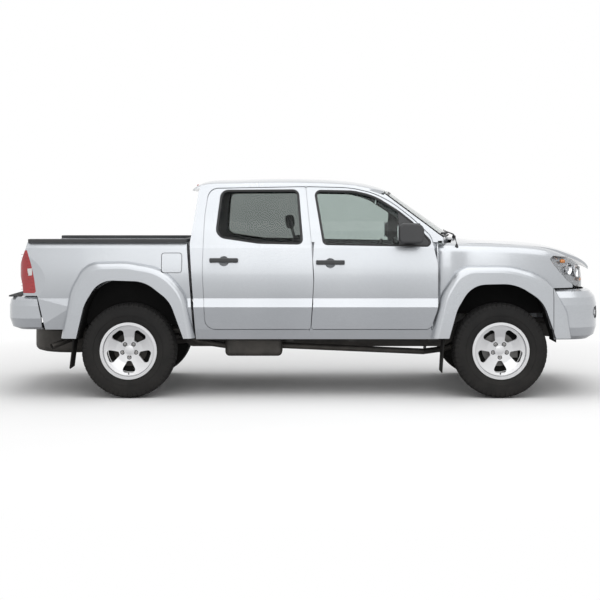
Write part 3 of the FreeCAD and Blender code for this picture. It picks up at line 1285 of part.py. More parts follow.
def build_roof():
    """Roof panel from the back wall to the head of the windscreen."""
    wires = [roof_section(along(s), up(c), up(r), roof_thick) for s, c, r in roof_stations_shares]
    roof = Part.makeLoft(wires, True, False)
    corners = [(along(0.166), out(0.8), 0), (along(0.60), out(0.8), 0), (along(0.691), out(0.64), 60),
               (along(0.706), 0, 2400), (along(0.691), -out(0.64), 60), (along(0.60), -out(0.8), 0),
               (along(0.166), -out(0.8), 0)]
    return roof.common(plan_solid(corners, 0, 2 * roof_height))


def bowed(mid, side):
    """An arc across the truck from a share point at its middle and one at its left end."""
    a = spot(side)
    return Part.Arc(a, spot(mid), Vec(a.x, -a.y, a.z)).toShape()


# Windscreen edges as (along, out, up) shares: middle and left end of the head and of the foot
screen_head_shares = [(0.708, 0, 1.80), (0.6935, 0.655, 1.755)]
screen_foot_shares = [(0.885, 0, 1.1193), (0.8481, 0.8564, 1.1107)]
cowl_drop_share = 0.0501
hood_lug_shares = (0.9, 0.442, 0.9985)
hood_open_angle = 50.0
hood_swing_steps = 12


def build_screen():
    """Bowed windscreen that lies on the pillars, the roof's edge and the cowl."""
    face = Part.makeRuledSurface(bowed(*screen_head_shares), bowed(*screen_foot_shares))
    return face.extrude(Vec(glass, 0, glass * 1.4))


def hood_swings():
    """The strip of the hood behind its hinge, a little grown, at even steps of its swing."""
    stations = [(along(s), up(c) + panel_gap, up(e) + panel_gap, out(h)) for s, c, e, h in hood_stations_shares[:3]]
    skin = Part.makeLoft([crowned(x, c, e, h, hood_thick + 2 * panel_gap) for x, c, e, h in stations], True, False)
    place = spot(hood_lug_shares)
    wide = body_half_width
    strip = skin.common(plan_solid(hood_plan(panel_gap), 0, 2 * belt_height))
    strip = strip.common(block(0, place.x, -wide, wide, 0, 2 * belt_height))
    turned = []
    for i in range(hood_swing_steps):
        step = strip.copy()
        step.rotate(Vec(place.x, 0, place.z), Vec(0, -1, 0), hood_open_angle * (i + 1) / hood_swing_steps)
        turned.append(step)
    return turned


def build_cowl():
    """Sunk panel from the hood's rear edge back to the bulkhead, with a lip up to the windscreen."""
    half = out(0.76)
    high = 2 * belt_height
    stations = [(along(s), up(c) - cowl_drop_share * belt_height, up(e) - cowl_drop_share * belt_height,
                 out(h)) for s, c, e, h in hood_stations_shares[:3]]
    skin = Part.makeLoft([crowned(x, c, e, h, hood_thick) for x, c, e, h in stations], True, False)
    back = along(0.8329)
    tray = skin.common(block(back, front_axle, -half, half, 0, high))
    tray = tray.cut(plan_solid(hood_plan(panel_gap), 0, high)).cut(
        block(along(0.8947), front_axle, -half, half, 0, high))
    tray = max(tray.Solids, key=lambda solid: solid.Volume)
    upper = bowed(*screen_foot_shares)
    upper.translate(Vec(-2 * panel_gap, 0, running))
    lower = upper.copy()
    lower.translate(Vec(0, 0, -4.5 * hood_thick))
    lip = Part.makeRuledSurface(upper, lower).extrude(Vec(-2 * sheet, 0, 0))
    lip = lip.common(block(back, front_axle, -half, half, 0, high))
    place = spot(hood_lug_shares)
    arms = []
    for y in (place.y - hinge_lug, place.y + 2 * hinge_lug):
        arms.append(block(back, place.x + hinge_pin, y, y + sheet, place.z - 3 * hinge_lug,
                          place.z + hinge_pin + running).cut(
            block(back, along(0.8916), y, y + sheet, place.z - hinge_lug, high)))
    pin = rod(place - Vec(0, hinge_lug, 0), place + Vec(0, 2 * hinge_lug + sheet, 0), hinge_pin)
    cowl = fuse([tray, lip] + both(fuse(arms + [pin])))
    for swung in hood_swings():
        cowl = cowl.cut(swung)
    return max(cowl.Solids, key=lambda solid: solid.Volume)


back_wall_shares = [(0.181, 0.384, 0), (0.163, 1.02, 0.05), (0.183, 1.80, 0), (0.196, 1.80, 0),
                    (0.177, 1.02, 0.04), (0.194, 0.384, 0)]
back_pane_shares = [(0.17, 1.02, 0), (0.19, 1.80, 0), (0.192, 1.80, 0), (0.172, 1.02, 0)]
back_window_shares = (0.60, 1.12, 1.72)


def build_back():
    """Rear wall of the cab with the rear window's opening, and its pane."""
    wall = inside_cab(side_prism(back_wall_shares, -body_half_width, body_half_width), side_depth)
    half, low, high = back_window_shares
    x = along(0.15)
    points = [Vec(x, -out(half), up(low)), Vec(x, out(half), up(low)),
              Vec(x, out(half * 0.90), up(high)), Vec(x, -out(half * 0.90), up(high))]
    hole = Part.Face(rounded(points, [skin_inset] * 4)).extrude(Vec(wheelbase * 0.1, 0, 0))
    pane = side_prism(back_pane_shares, -body_half_width, body_half_width).common(hole)
    return wall.cut(hole), pane


def main():
    wing, lamp, flare_end = build_front(swept_edge(front_door_shares))
    bed, tail_lamp, fuel_flap = build_load_bed()
    doors = build_doors()
    roof = build_roof()
    wall, back_pane = build_back()
    cab_side = build_cab_side().cut(roof).cut(wing)
    cab_side = max(cab_side.Solids, key=lambda solid: solid.Volume)
    save("cab_sides", *both(cab_side))
    save("roof", roof)
    save("cab_back", wall.cut(roof))
    screen = build_screen()
    save("cab_glass", screen, back_pane)
    save("cab_floor", build_cab_floor(wall))
    save("cowl", build_cowl())
    dash = build_dashboard().fuse(build_column())
    save("dashboard", dash)
    save("seats", *build_seats())
    save("steering_wheel", build_steering_wheel())
    save("front_wings", *both(wing))
    save("headlamps", *both(lamp))
    save("grille", build_grille())
    save("front_bumper", build_front_bumper(flare_end))
    save("fog_lamps", *build_fog_lamps())
    save("hood", build_hood())
    save("engine_bay", build_engine_bay())
    save("engine", fuse(boxes_at(engine_shares)))
    save("wheel_liners", *both(build_liners().cut(wing)))
    save("mud_flaps", *[flap.cut(bed) for flap in build_mud_flaps()])
    save("load_bed", bed)
    save("tail_lamps", *both(tail_lamp))
    save("fuel_flap", fuel_flap)
    save("tailgate", build_tailgate())
    save("bed_rails", build_bed_rails())
    save("rear_bumper", build_rear_bumper())
    save("frame", build_frame().cut(bed))
    save("rear_axle", build_rear_axle())
    save("leaf_springs", *build_leaf_springs())
    save("front_suspension", *both(build_front_suspension()))
    save("fuel_tank", soft_box(tank_shares, muffler_round))
    save("exhaust", build_exhaust())
    save("spare_wheel", build_spare())
    knuckle = build_knuckle()
    save("knuckle_left", knuckle)
    save("knuckle_right", mirrored(knuckle))
    tyre = build_tyre()
    rim = build_rim()
    for end, axle in (("front", front_axle), ("rear", rear_axle)):
        door, pane = doors[end]
        door = door.cut(handle_cup(handle_shares[end]))
        fittings = [build_handle(handle_shares[end])]
        if end == "front":
            fittings.append(build_mirror())
        here = Vec(axle, wheel_y, tyre_radius)
        for side, flip in (("left", False), ("right", True)):
            place = "_" + end + "_" + side
            for name, shapes in (("door", [door]), ("door_glass", [pane]), ("door_fittings", fittings),
                                 ("tyre", [tyre.translated(here)]), ("rim", [rim.translated(here)])):
                save(name + place, *[mirrored(shape) if flip else shape for shape in shapes])


main()
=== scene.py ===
import math

import bmesh
import bpy
import numpy as np
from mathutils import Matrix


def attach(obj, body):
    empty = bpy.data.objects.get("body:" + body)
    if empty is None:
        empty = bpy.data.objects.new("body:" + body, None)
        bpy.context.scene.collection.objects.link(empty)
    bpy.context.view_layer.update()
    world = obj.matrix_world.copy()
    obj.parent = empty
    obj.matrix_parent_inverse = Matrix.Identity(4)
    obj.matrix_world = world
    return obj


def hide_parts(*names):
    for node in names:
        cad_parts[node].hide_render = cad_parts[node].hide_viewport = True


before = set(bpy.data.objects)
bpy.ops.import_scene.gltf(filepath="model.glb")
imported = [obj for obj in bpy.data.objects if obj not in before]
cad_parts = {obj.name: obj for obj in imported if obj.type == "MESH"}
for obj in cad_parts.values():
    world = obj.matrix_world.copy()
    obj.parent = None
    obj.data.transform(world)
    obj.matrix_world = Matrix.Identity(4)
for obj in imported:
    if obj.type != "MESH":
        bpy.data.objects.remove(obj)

print("stage: frame loaded")
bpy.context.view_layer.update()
mm = 0.001
pi = math.pi
tiny = 1e-12
ends = ("front", "rear")
sides = {"left": 1, "right": -1}
meshing = {"weldGap": 0.00002, "slimmestEdge": 0.000005, "cornerShare": 0.49, "tubeUp": (0.13, 0.21, 1.0)}
smoothing = {"usual": 32, "soft": 40, "shell": 50, "nut": 28, "cap": 26, "tyre": 24, "all": 180}  # degrees


# Shapes: rings of points are carried along a way and skinned

# Quads between neighbouring rings. A tube closes round each ring and is capped at both ends,
# a hose has no caps, a loop closes both ways.
def skinRings(rings, mode, start):
    count, around = rings.shape[:2]
    index = start + np.arange(count * around).reshape(count, around)
    index = np.concatenate([index, index[:, :1]], axis=1)
    if mode == "loop":
        index = np.concatenate([index, index[:1]], axis=0)
    corners = [index[:-1, :-1], index[1:, :-1], index[1:, 1:], index[:-1, 1:]]
    faces = np.stack(corners, axis=-1).reshape(-1, 4).tolist()
    if mode == "tube":
        faces.append(index[0, :around].tolist())
        faces.append(index[-1, :around][::-1].tolist())
    return faces


# One mesh from several (rings, mode) parts, riding a body of the frame
def makePiece(name, parts, material, body, smoothAngle, welded=False):
    points = []
    faces = []
    start = 0
    for rings, mode in parts:
        rings = np.asarray(rings, float)
        faces += skinRings(rings, mode, start)
        flat = rings.reshape(-1, 3)
        points.append(flat)
        start += len(flat)
    mesh = bpy.data.meshes.new(name)
    mesh.from_pydata(np.concatenate(points).tolist(), [], faces)
    work = bmesh.new()
    work.from_mesh(mesh)
    if welded:
        bmesh.ops.remove_doubles(work, verts=work.verts, dist=meshing["weldGap"])
    bmesh.ops.dissolve_degenerate(work, dist=meshing["slimmestEdge"], edges=work.edges)
    bmesh.ops.recalc_face_normals(work, faces=work.faces)
    work.to_mesh(mesh)
    work.free()
    mesh.shade_smooth()
    mesh.set_sharp_from_angle(angle=math.radians(smoothAngle))
    mesh.materials.append(material)
    piece = bpy.data.objects.new(name, mesh)
    bpy.context.scene.collection.objects.link(piece)
    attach(piece, body)
    return piece


# The same points on the other side of the middle plane
def flipped(points):
    return np.asarray(points, float) * np.array([1.0, -1.0, 1.0])


def onSide(parts, side):
    return parts if side > 0 else [(flipped(rings), mode) for rings, mode in parts]


def bothSides(parts):
    return parts + onSide(parts, -1)


# A rounded rectangle: four quarter circles about the corner centres, drawn in by the inset
def ringOutline(halfA, halfB, radius, inset, steps):
    turn = np.linspace(0, pi / 2, steps)
    turns = np.concatenate([turn + k * pi / 2 for k in range(4)])
    signA = np.repeat([1, -1, -1, 1], steps)
    signB = np.repeat([1, 1, -1, -1], steps)
    reach = max(radius - inset, 0.0)
    a = signA * (halfA - radius) + reach * np.cos(turns)
    b = signB * (halfB - radius) + reach * np.sin(turns)
    return a, b


# A block with every edge round: rounded rectangles along the axis (0 x, 1 y, 2 z), whose inset
# follows a quarter circle at both ends. Rows of blocks in this file are (centre, size, radius, axis, steps).
def softBlock(centre, size, radius, axis=2, steps=5):
    order = [(1, 2, 0), (2, 0, 1), (0, 1, 2)][axis]
    halves = np.array(size, float)[list(order)] / 2
    radius = min(radius, halves.min() * 0.999)  # a hair less than half, so no ring closes on itself
    bend = np.linspace(0, pi / 2, steps)
    insets = np.concatenate([radius * (1 - np.sin(bend)), radius * (1 - np.sin(bend[::-1]))])
    heights = np.concatenate([-halves[2] + radius * (1 - np.cos(bend)),
                              halves[2] - radius * (1 - np.cos(bend[::-1]))])
    rings = np.zeros((len(insets), 4 * steps, 3))
    for i, (inset, height) in enumerate(zip(insets, heights)):
        a, b = ringOutline(halves[0], halves[1], radius, inset, steps)
        rings[i, :, order[0]] = a
        rings[i, :, order[1]] = b
        rings[i, :, order[2]] = height
    return rings + np.array(centre, float), "tube"


def softBlocks(rows):
    return [softBlock(*row) for row in rows]


# Unit ways across a path: the second is square to the path and nearest to up, the first square to both
def waysAcross(path, up, closed):
    if closed:
        way = np.roll(path, -1, axis=0) - np.roll(path, 1, axis=0)
    else:
        way = np.gradient(path, axis=0)
    way /= np.linalg.norm(way, axis=1, keepdims=True) + tiny
    up = np.broadcast_to(np.array(up, float), path.shape)
    second = up - way * np.sum(up * way, axis=1, keepdims=True)
    second /= np.linalg.norm(second, axis=1, keepdims=True) + tiny
    return np.cross(way, second), second


# A curve through the points: cubic blends (Catmull-Rom) at even parameter steps
def smoothPath(points, count=40):
    points = np.asarray(points, float)
    padded = np.concatenate([2 * points[:1] - points[1:2], points, 2 * points[-1:] - points[-2:-1]])
    spans = len(points) - 1
    t = np.linspace(0, spans - 1e-9, count)
    k = t.astype(int)
    f = (t - k)[:, None]
    p0, p1, p2, p3 = padded[k], padded[k + 1], padded[k + 2], padded[k + 3]
    return 0.5 * (2 * p1 + (p2 - p0) * f + (2 * p0 - 5 * p1 + 4 * p2 - p3) * f ** 2
                  + (3 * p1 - p0 - 3 * p2 + p3) * f ** 3)


# A circle carried along a path; the radius may change along it
def tube(path, radius, around=12, up=meshing["tubeUp"], mode="tube"):
    path = np.asarray(path, float)
    first, second = waysAcross(path, up, mode == "loop")
    turn = np.linspace(0, 2 * pi, around, endpoint=False)
    radius = np.broadcast_to(np.asarray(radius, float), (len(path),))[:, None, None]
    ring = first[:, None] * np.cos(turn)[None, :, None] + second[:, None] * np.sin(turn)[None, :, None]
    return path[:, None] + ring * radius, mode


# A closed section of rows (across, upwards) in mm, carried along a path
def carried(path, section, up, mode="tube"):
    path = np.asarray(path, float)
    first, second = waysAcross(path, up, mode == "loop")
    section = np.asarray(section, float) * mm
    across = first[:, None] * section[None, :, :1] + second[:, None] * section[None, :, 1:]
    return path[:, None] + across, mode


# The section of a plank, for carried
def plank(wide, high):
    return [(-wide / 2, -high / 2), (wide / 2, -high / 2), (wide / 2, high / 2), (-wide / 2, high / 2)]


# A profile of (radius, offset) in mm, turned about an axis through the centre
def turned(profile, centre, axis, around, sign=1.0, mode="tube"):
    profile = np.asarray(profile, float) * mm
    turn = np.linspace(0, 2 * pi, around, endpoint=False)
    c = np.cos(turn)[None, :] * profile[:, :1]
    s = np.sin(turn)[None, :] * profile[:, :1]
    offset = np.repeat(profile[:, 1:], around, axis=1) * sign
    rings = {"y": (c, offset, s), "x": (offset, c, s), "z": (c, s, offset)}[axis]
    return np.stack(rings, axis=-1) + np.array(centre, float), mode


# A profile of (radius, distance along the way) turned about a slanting way
def turnedAlong(profile, centre, way, around=32, mode="tube"):
    way = np.array(way, float)
    way /= np.linalg.norm(way)
    first = np.cross(way, [0.0, 0.05, 1.0])
    first /= np.linalg.norm(first)
    second = np.cross(way, first)
    turn = np.linspace(0, 2 * pi, around, endpoint=False)
    ring = first * np.cos(turn)[:, None] + second * np.sin(turn)[:, None]
    profile = np.asarray(profile, float)
    return np.array(centre) + ring[None] * profile[:, :1, None] + way * profile[:, 1:, None], mode


# A closed line through corner points (a, b, radius), each turned by an arc of its own radius that takes
# less than half of the shorter side
def roundedOutline(corners, steps=7):
    corners = np.asarray(corners, float)
    spot = corners[:, :2]
    before = np.roll(spot, 1, axis=0) - spot
    after = np.roll(spot, -1, axis=0) - spot
    longBefore = np.linalg.norm(before, axis=1)
    longAfter = np.linalg.norm(after, axis=1)
    before /= longBefore[:, None]
    after /= longAfter[:, None]
    half = np.arccos(np.clip(np.sum(before * after, axis=1), -1, 1)) / 2
    shorter = meshing["cornerShare"] * np.minimum(longBefore, longAfter)
    cut = np.minimum(corners[:, 2] / np.tan(half), shorter)
    radius = cut * np.tan(half)
    middle = before + after
    middle /= np.linalg.norm(middle, axis=1)[:, None]
    centre = spot + middle * (radius / np.sin(half))[:, None]
    start = spot + before * cut[:, None] - centre
    finish = spot + after * cut[:, None] - centre
    fromTurn = np.arctan2(start[:, 1], start[:, 0])
    swing = np.arctan2(finish[:, 1], finish[:, 0]) - fromTurn
    swing = (swing + pi) % (2 * pi) - pi
    angles = fromTurn[:, None] + swing[:, None] * np.linspace(0, 1, steps)[None]
    arcs = centre[:, None] + radius[:, None, None] * np.stack([np.cos(angles), np.sin(angles)], axis=-1)
    return arcs.reshape(-1, 2)


# The four corners of an upright rectangle, for roundedOutline
def boxCorners(a, b, halfA, halfB, radius):
    return [(a - halfA, b - halfB, radius), (a + halfA, b - halfB, radius),
            (a + halfA, b + halfB, radius), (a - halfA, b + halfB, radius)]


# A closed line measured out into equal steps
def evenly(line, count):
    line = np.asarray(line, float)
    closed = np.concatenate([line, line[:1]])
    length = np.concatenate([[0], np.cumsum(np.linalg.norm(np.diff(closed, axis=0), axis=1))])
    at = np.linspace(0, length[-1], count, endpoint=False)
    return np.stack([np.interp(at, length, closed[:, k]) for k in range(closed.shape[1])], axis=-1)


# A thin rod round an outline of (y, z) that stands at one x
def rodRound(outline, count, steps, x, radius, around):
    line = evenly(roundedOutline(outline, steps), count)
    path = np.stack([np.full(count, x), line[:, 0], line[:, 1]], axis=-1)
    return tube(path, radius, around, (1.0, 0, 0), "loop")


# The truck's own side, as the construction has it. Outlines are in shares: along it of the wheelbase
# and, past the axles, of the overhangs, upwards of the belt's height and, past it, of the rest to the roof.

truck = {
    "rearAxle": -1.518,
    "frontAxle": 1.682,
    "wheelbase": 3.2,
    "belt": 1.318,
    "roof": 1.905,
    "half": 0.905,
    "frontOverhang": 0.928,
    "rearOverhang": 1.092,
    "wheelY": 0.7825,
    "wheelZ": 0.408,
    # half width and height at three straight points, then on the arc below the belt and on that above it
    "sideShares": [(0.935, 0.383), (0.962, 0.448), (1.0, 0.595), (0.9635, 0.651), (0.972, 0.80),
                   (0.941, 0.979), (0.926, 1.0), (0.818, 1.42), (0.699, 1.88)],
}


def along(share):
    share = np.asarray(share, float)
    inside = truck["rearAxle"] + share * truck["wheelbase"]
    ahead = truck["frontAxle"] + (share - 1) * truck["frontOverhang"]
    behind = truck["rearAxle"] + share * truck["rearOverhang"]
    return np.where(share > 1, ahead, np.where(share < 0, behind, inside))


def upTo(share):
    share = np.asarray(share, float)
    above = truck["belt"] + (share - 1) * (truck["roof"] - truck["belt"])
    return np.where(share > 1, above, share * truck["belt"])


# Points on the circle through three points: its centre is where the middle lines of two chords cross
def arcThrough(a, b, c, count=16):
    (ax, ay), (bx, by), (cx, cy) = a, b, c
    d = 2 * (ax * (by - cy) + bx * (cy - ay) + cx * (ay - by))
    squareA, squareB, squareC = (x ** 2 + y ** 2 for x, y in (a, b, c))
    ux = (squareA * (by - cy) + squareB * (cy - ay) + squareC * (ay - by)) / d
    uy = (squareA * (cx - bx) + squareB * (ax - cx) + squareC * (bx - ax)) / d
    radius = math.hypot(ax - ux, ay - uy)
    z = np.linspace(ay, cy, count)
    reach = np.sqrt(np.maximum(radius ** 2 - (z - uy) ** 2, 0))
    return np.stack([ux + (reach if bx > ux else -reach), z], axis=-1)


sidePoints = [(y * truck["half"], float(upTo(z))) for y, z in truck["sideShares"]]
sideTrace = np.concatenate([sidePoints[:3], arcThrough(*sidePoints[3:6]), arcThrough(*sidePoints[6:9])])


# Half width of the body side at a height, read along the traced points
def sideY(z):
    return np.interp(z, sideTrace[:, 1], sideTrace[:, 0])


def placedCorners(shares):
    shares = np.asarray(shares, float)
    return np.stack([along(shares[:, 0]), upTo(shares[:, 1]), shares[:, 2] * truck["belt"]], axis=-1)


# Effects shared by several materials

groupSettings = {
    "broadDetail": 2.0,
    "fineDetail": 4.0,
    "speckScale": 9.0,
    "speckDetail": 5.0,
    "dust": (0.33, 0.30, 0.26, 1),
    "dustRoughness": 0.5,
    "coatRoughness": 0.05,
}


def newGroup(name, inputs, outputs):
    tree = bpy.data.node_groups.new(name, "ShaderNodeTree")
    for label, value in inputs:
        socket = tree.interface.new_socket(name=label, in_out="INPUT", socket_type="NodeSocketFloat")
        socket.default_value = value
    for label in outputs:
        tree.interface.new_socket(name=label, in_out="OUTPUT", socket_type="NodeSocketFloat")
    return tree, tree.nodes.new("NodeGroupInput"), tree.nodes.new("NodeGroupOutput")


# A Math node; each term is a socket or a number
def calc(tree, operation, first, second=None, clamp=False):
    node = tree.nodes.new("ShaderNodeMath")
    node.operation = operation
    node.use_clamp = clamp
    for slotIndex, term in enumerate((first, second)):
        if term is None:
            continue
        if isinstance(term, (int, float)):
            node.inputs[slotIndex].default_value = term
        else:
            tree.links.new(term, node.inputs[slotIndex])
    return node.outputs[0]


def placeOf(tree):
    return tree.nodes.new("ShaderNodeTexCoord").outputs["Object"]


# Noise read in object coordinates; the scale is a socket or a number
def noiseOf(tree, scale, detail):
    node = tree.nodes.new("ShaderNodeTexNoise")
    node.inputs["Detail"].default_value = detail
    tree.links.new(placeOf(tree), node.inputs["Vector"])
    if isinstance(scale, (int, float)):
        node.inputs["Scale"].default_value = scale
    else:
        tree.links.new(scale, node.inputs["Scale"])
    return node.outputs[0]


# Broad and fine noise mixed by a share
def buildPatchyTone():
    inputs = [("Broad", 3.0), ("Fine", 60.0), ("Share", 0.5)]
    tree, given, made = newGroup("patchyTone", inputs, ["Tone", "Height"])
    broad = noiseOf(tree, given.outputs["Broad"], groupSettings["broadDetail"])
    fine = noiseOf(tree, given.outputs["Fine"], groupSettings["fineDetail"])
    rest = calc(tree, "SUBTRACT", 1.0, given.outputs["Share"])
    fineShare = calc(tree, "MULTIPLY", fine, given.outputs["Share"])
    mixed = calc(tree, "ADD", fineShare, calc(tree, "MULTIPLY", broad, rest))
    tree.links.new(mixed, made.inputs["Tone"])
    tree.links.new(fine, made.inputs["Height"])
    return tree


# A dust mask that thickens smoothly from High down to Low, broken up by noise
def buildRoadFilm():
    tree, given, made = newGroup("roadFilm", [("Low", 0.25), ("High", 0.75), ("Amount", 0.3)], ["Film"])
    split = tree.nodes.new("ShaderNodeSeparateXYZ")
    tree.links.new(placeOf(tree), split.inputs[0])
    fall = tree.nodes.new("ShaderNodeMapRange")
    fall.interpolation_type = "SMOOTHSTEP"
    tree.links.new(split.outputs[2], fall.inputs["Value"])
    tree.links.new(given.outputs["High"], fall.inputs["From Min"])
    tree.links.new(given.outputs["Low"], fall.inputs["From Max"])
    specks = noiseOf(tree, groupSettings["speckScale"], groupSettings["speckDetail"])
    speckled = calc(tree, "MULTIPLY", specks, fall.outputs["Result"])
    mask = calc(tree, "MULTIPLY", speckled, given.outputs["Amount"], True)
    tree.links.new(mask, made.inputs["Film"])
    return tree


# A random value in each small cell, like flake in the paint
def buildMetalFlake():
    tree, given, made = newGroup("metalFlake", [("Scale", 700.0)], ["Flake"])
    cells = tree.nodes.new("ShaderNodeTexVoronoi")
    tree.links.new(placeOf(tree), cells.inputs["Vector"])
    tree.links.new(given.outputs["Scale"], cells.inputs["Scale"])
    tone = tree.nodes.new("ShaderNodeRGBToBW")
    tree.links.new(cells.outputs["Color"], tone.inputs[0])
    tree.links.new(tone.outputs[0], made.inputs["Flake"])
    return tree


groups = {"patchyTone": buildPatchyTone(), "roadFilm": buildRoadFilm(), "metalFlake": buildMetalFlake()}


def useGroup(tree, name, **values):
    node = tree.nodes.new("ShaderNodeGroup")
    node.node_tree = groups[name]
    for label, value in values.items():
        node.inputs[label].default_value = value
    return node


def blendColours(tree, mask, first, second):
    node = tree.nodes.new("ShaderNodeMix")
    node.data_type = "RGBA"
    for socket, value in ((node.inputs["Factor"], mask), (node.inputs[6], first), (node.inputs[7], second)):
        if isinstance(value, (tuple, float, int)):
            socket.default_value = value
        else:
            tree.links.new(value, socket)
    return node.outputs[2]


# Noise lies mostly between 0.3 and 0.7, which is drawn out from low to high
def stretchRange(tree, value, low, high, fromLow=0.3, fromHigh=0.7):
    node = tree.nodes.new("ShaderNodeMapRange")
    for label, number in (("From Min", fromLow), ("From Max", fromHigh), ("To Min", low), ("To Max", high)):
        node.inputs[label].default_value = number
    tree.links.new(value, node.inputs["Value"])
    return node.outputs["Result"]


# Materials

# Colour runs between two tones with the patches, roughness with the fine noise; film lays road dust
# low down, flake varies single cells
def surface(name, dark, light, roughness, metallic, patches, bump, film=None, flake=None, coat=0.0,
            transmission=0.0, ior=1.45, specular=0.5, sheen=0.0):
    material = bpy.data.materials.new(name)
    material.use_nodes = True
    tree = material.node_tree
    shader = tree.nodes["Principled BSDF"]
    patch = useGroup(tree, "patchyTone", Broad=patches[0], Fine=patches[1], Share=patches[2])
    tone = stretchRange(tree, patch.outputs["Tone"], 0.0, 1.0)
    if flake:
        cell = useGroup(tree, "metalFlake", Scale=flake[0]).outputs["Flake"]
        patched = calc(tree, "MULTIPLY", tone, 1 - flake[1])
        tone = calc(tree, "ADD", patched, calc(tree, "MULTIPLY", cell, flake[1]))
    colour = blendColours(tree, tone, (*dark, 1), (*light, 1))
    rough = None
    if roughness[1] > roughness[0]:
        rough = stretchRange(tree, patch.outputs["Height"], *roughness)
    if film:
        mask = useGroup(tree, "roadFilm", Low=film[0], High=film[1], Amount=film[2]).outputs["Film"]
        colour = blendColours(tree, mask, colour, groupSettings["dust"])
        dusty = calc(tree, "MULTIPLY", mask, groupSettings["dustRoughness"])
        rough = calc(tree, "ADD", rough, dusty, True)
    values = {"Roughness": roughness[0], "Metallic": metallic, "IOR": ior, "Specular IOR Level": specular,
              "Coat Weight": coat, "Coat Roughness": groupSettings["coatRoughness"],
              "Transmission Weight": transmission, "Sheen Weight": sheen}
    for label, value in values.items():
        shader.inputs[label].default_value = value
    tree.links.new(colour, shader.inputs["Base Color"])
    if rough:
        tree.links.new(rough, shader.inputs["Roughness"])
    if bump[0]:
        node = tree.nodes.new("ShaderNodeBump")
        node.inputs["Strength"].default_value = bump[0]
        node.inputs["Distance"].default_value = bump[1]
        tree.links.new(patch.outputs["Height"], node.inputs["Height"])
        tree.links.new(node.outputs[0], shader.inputs["Normal"])
    return material


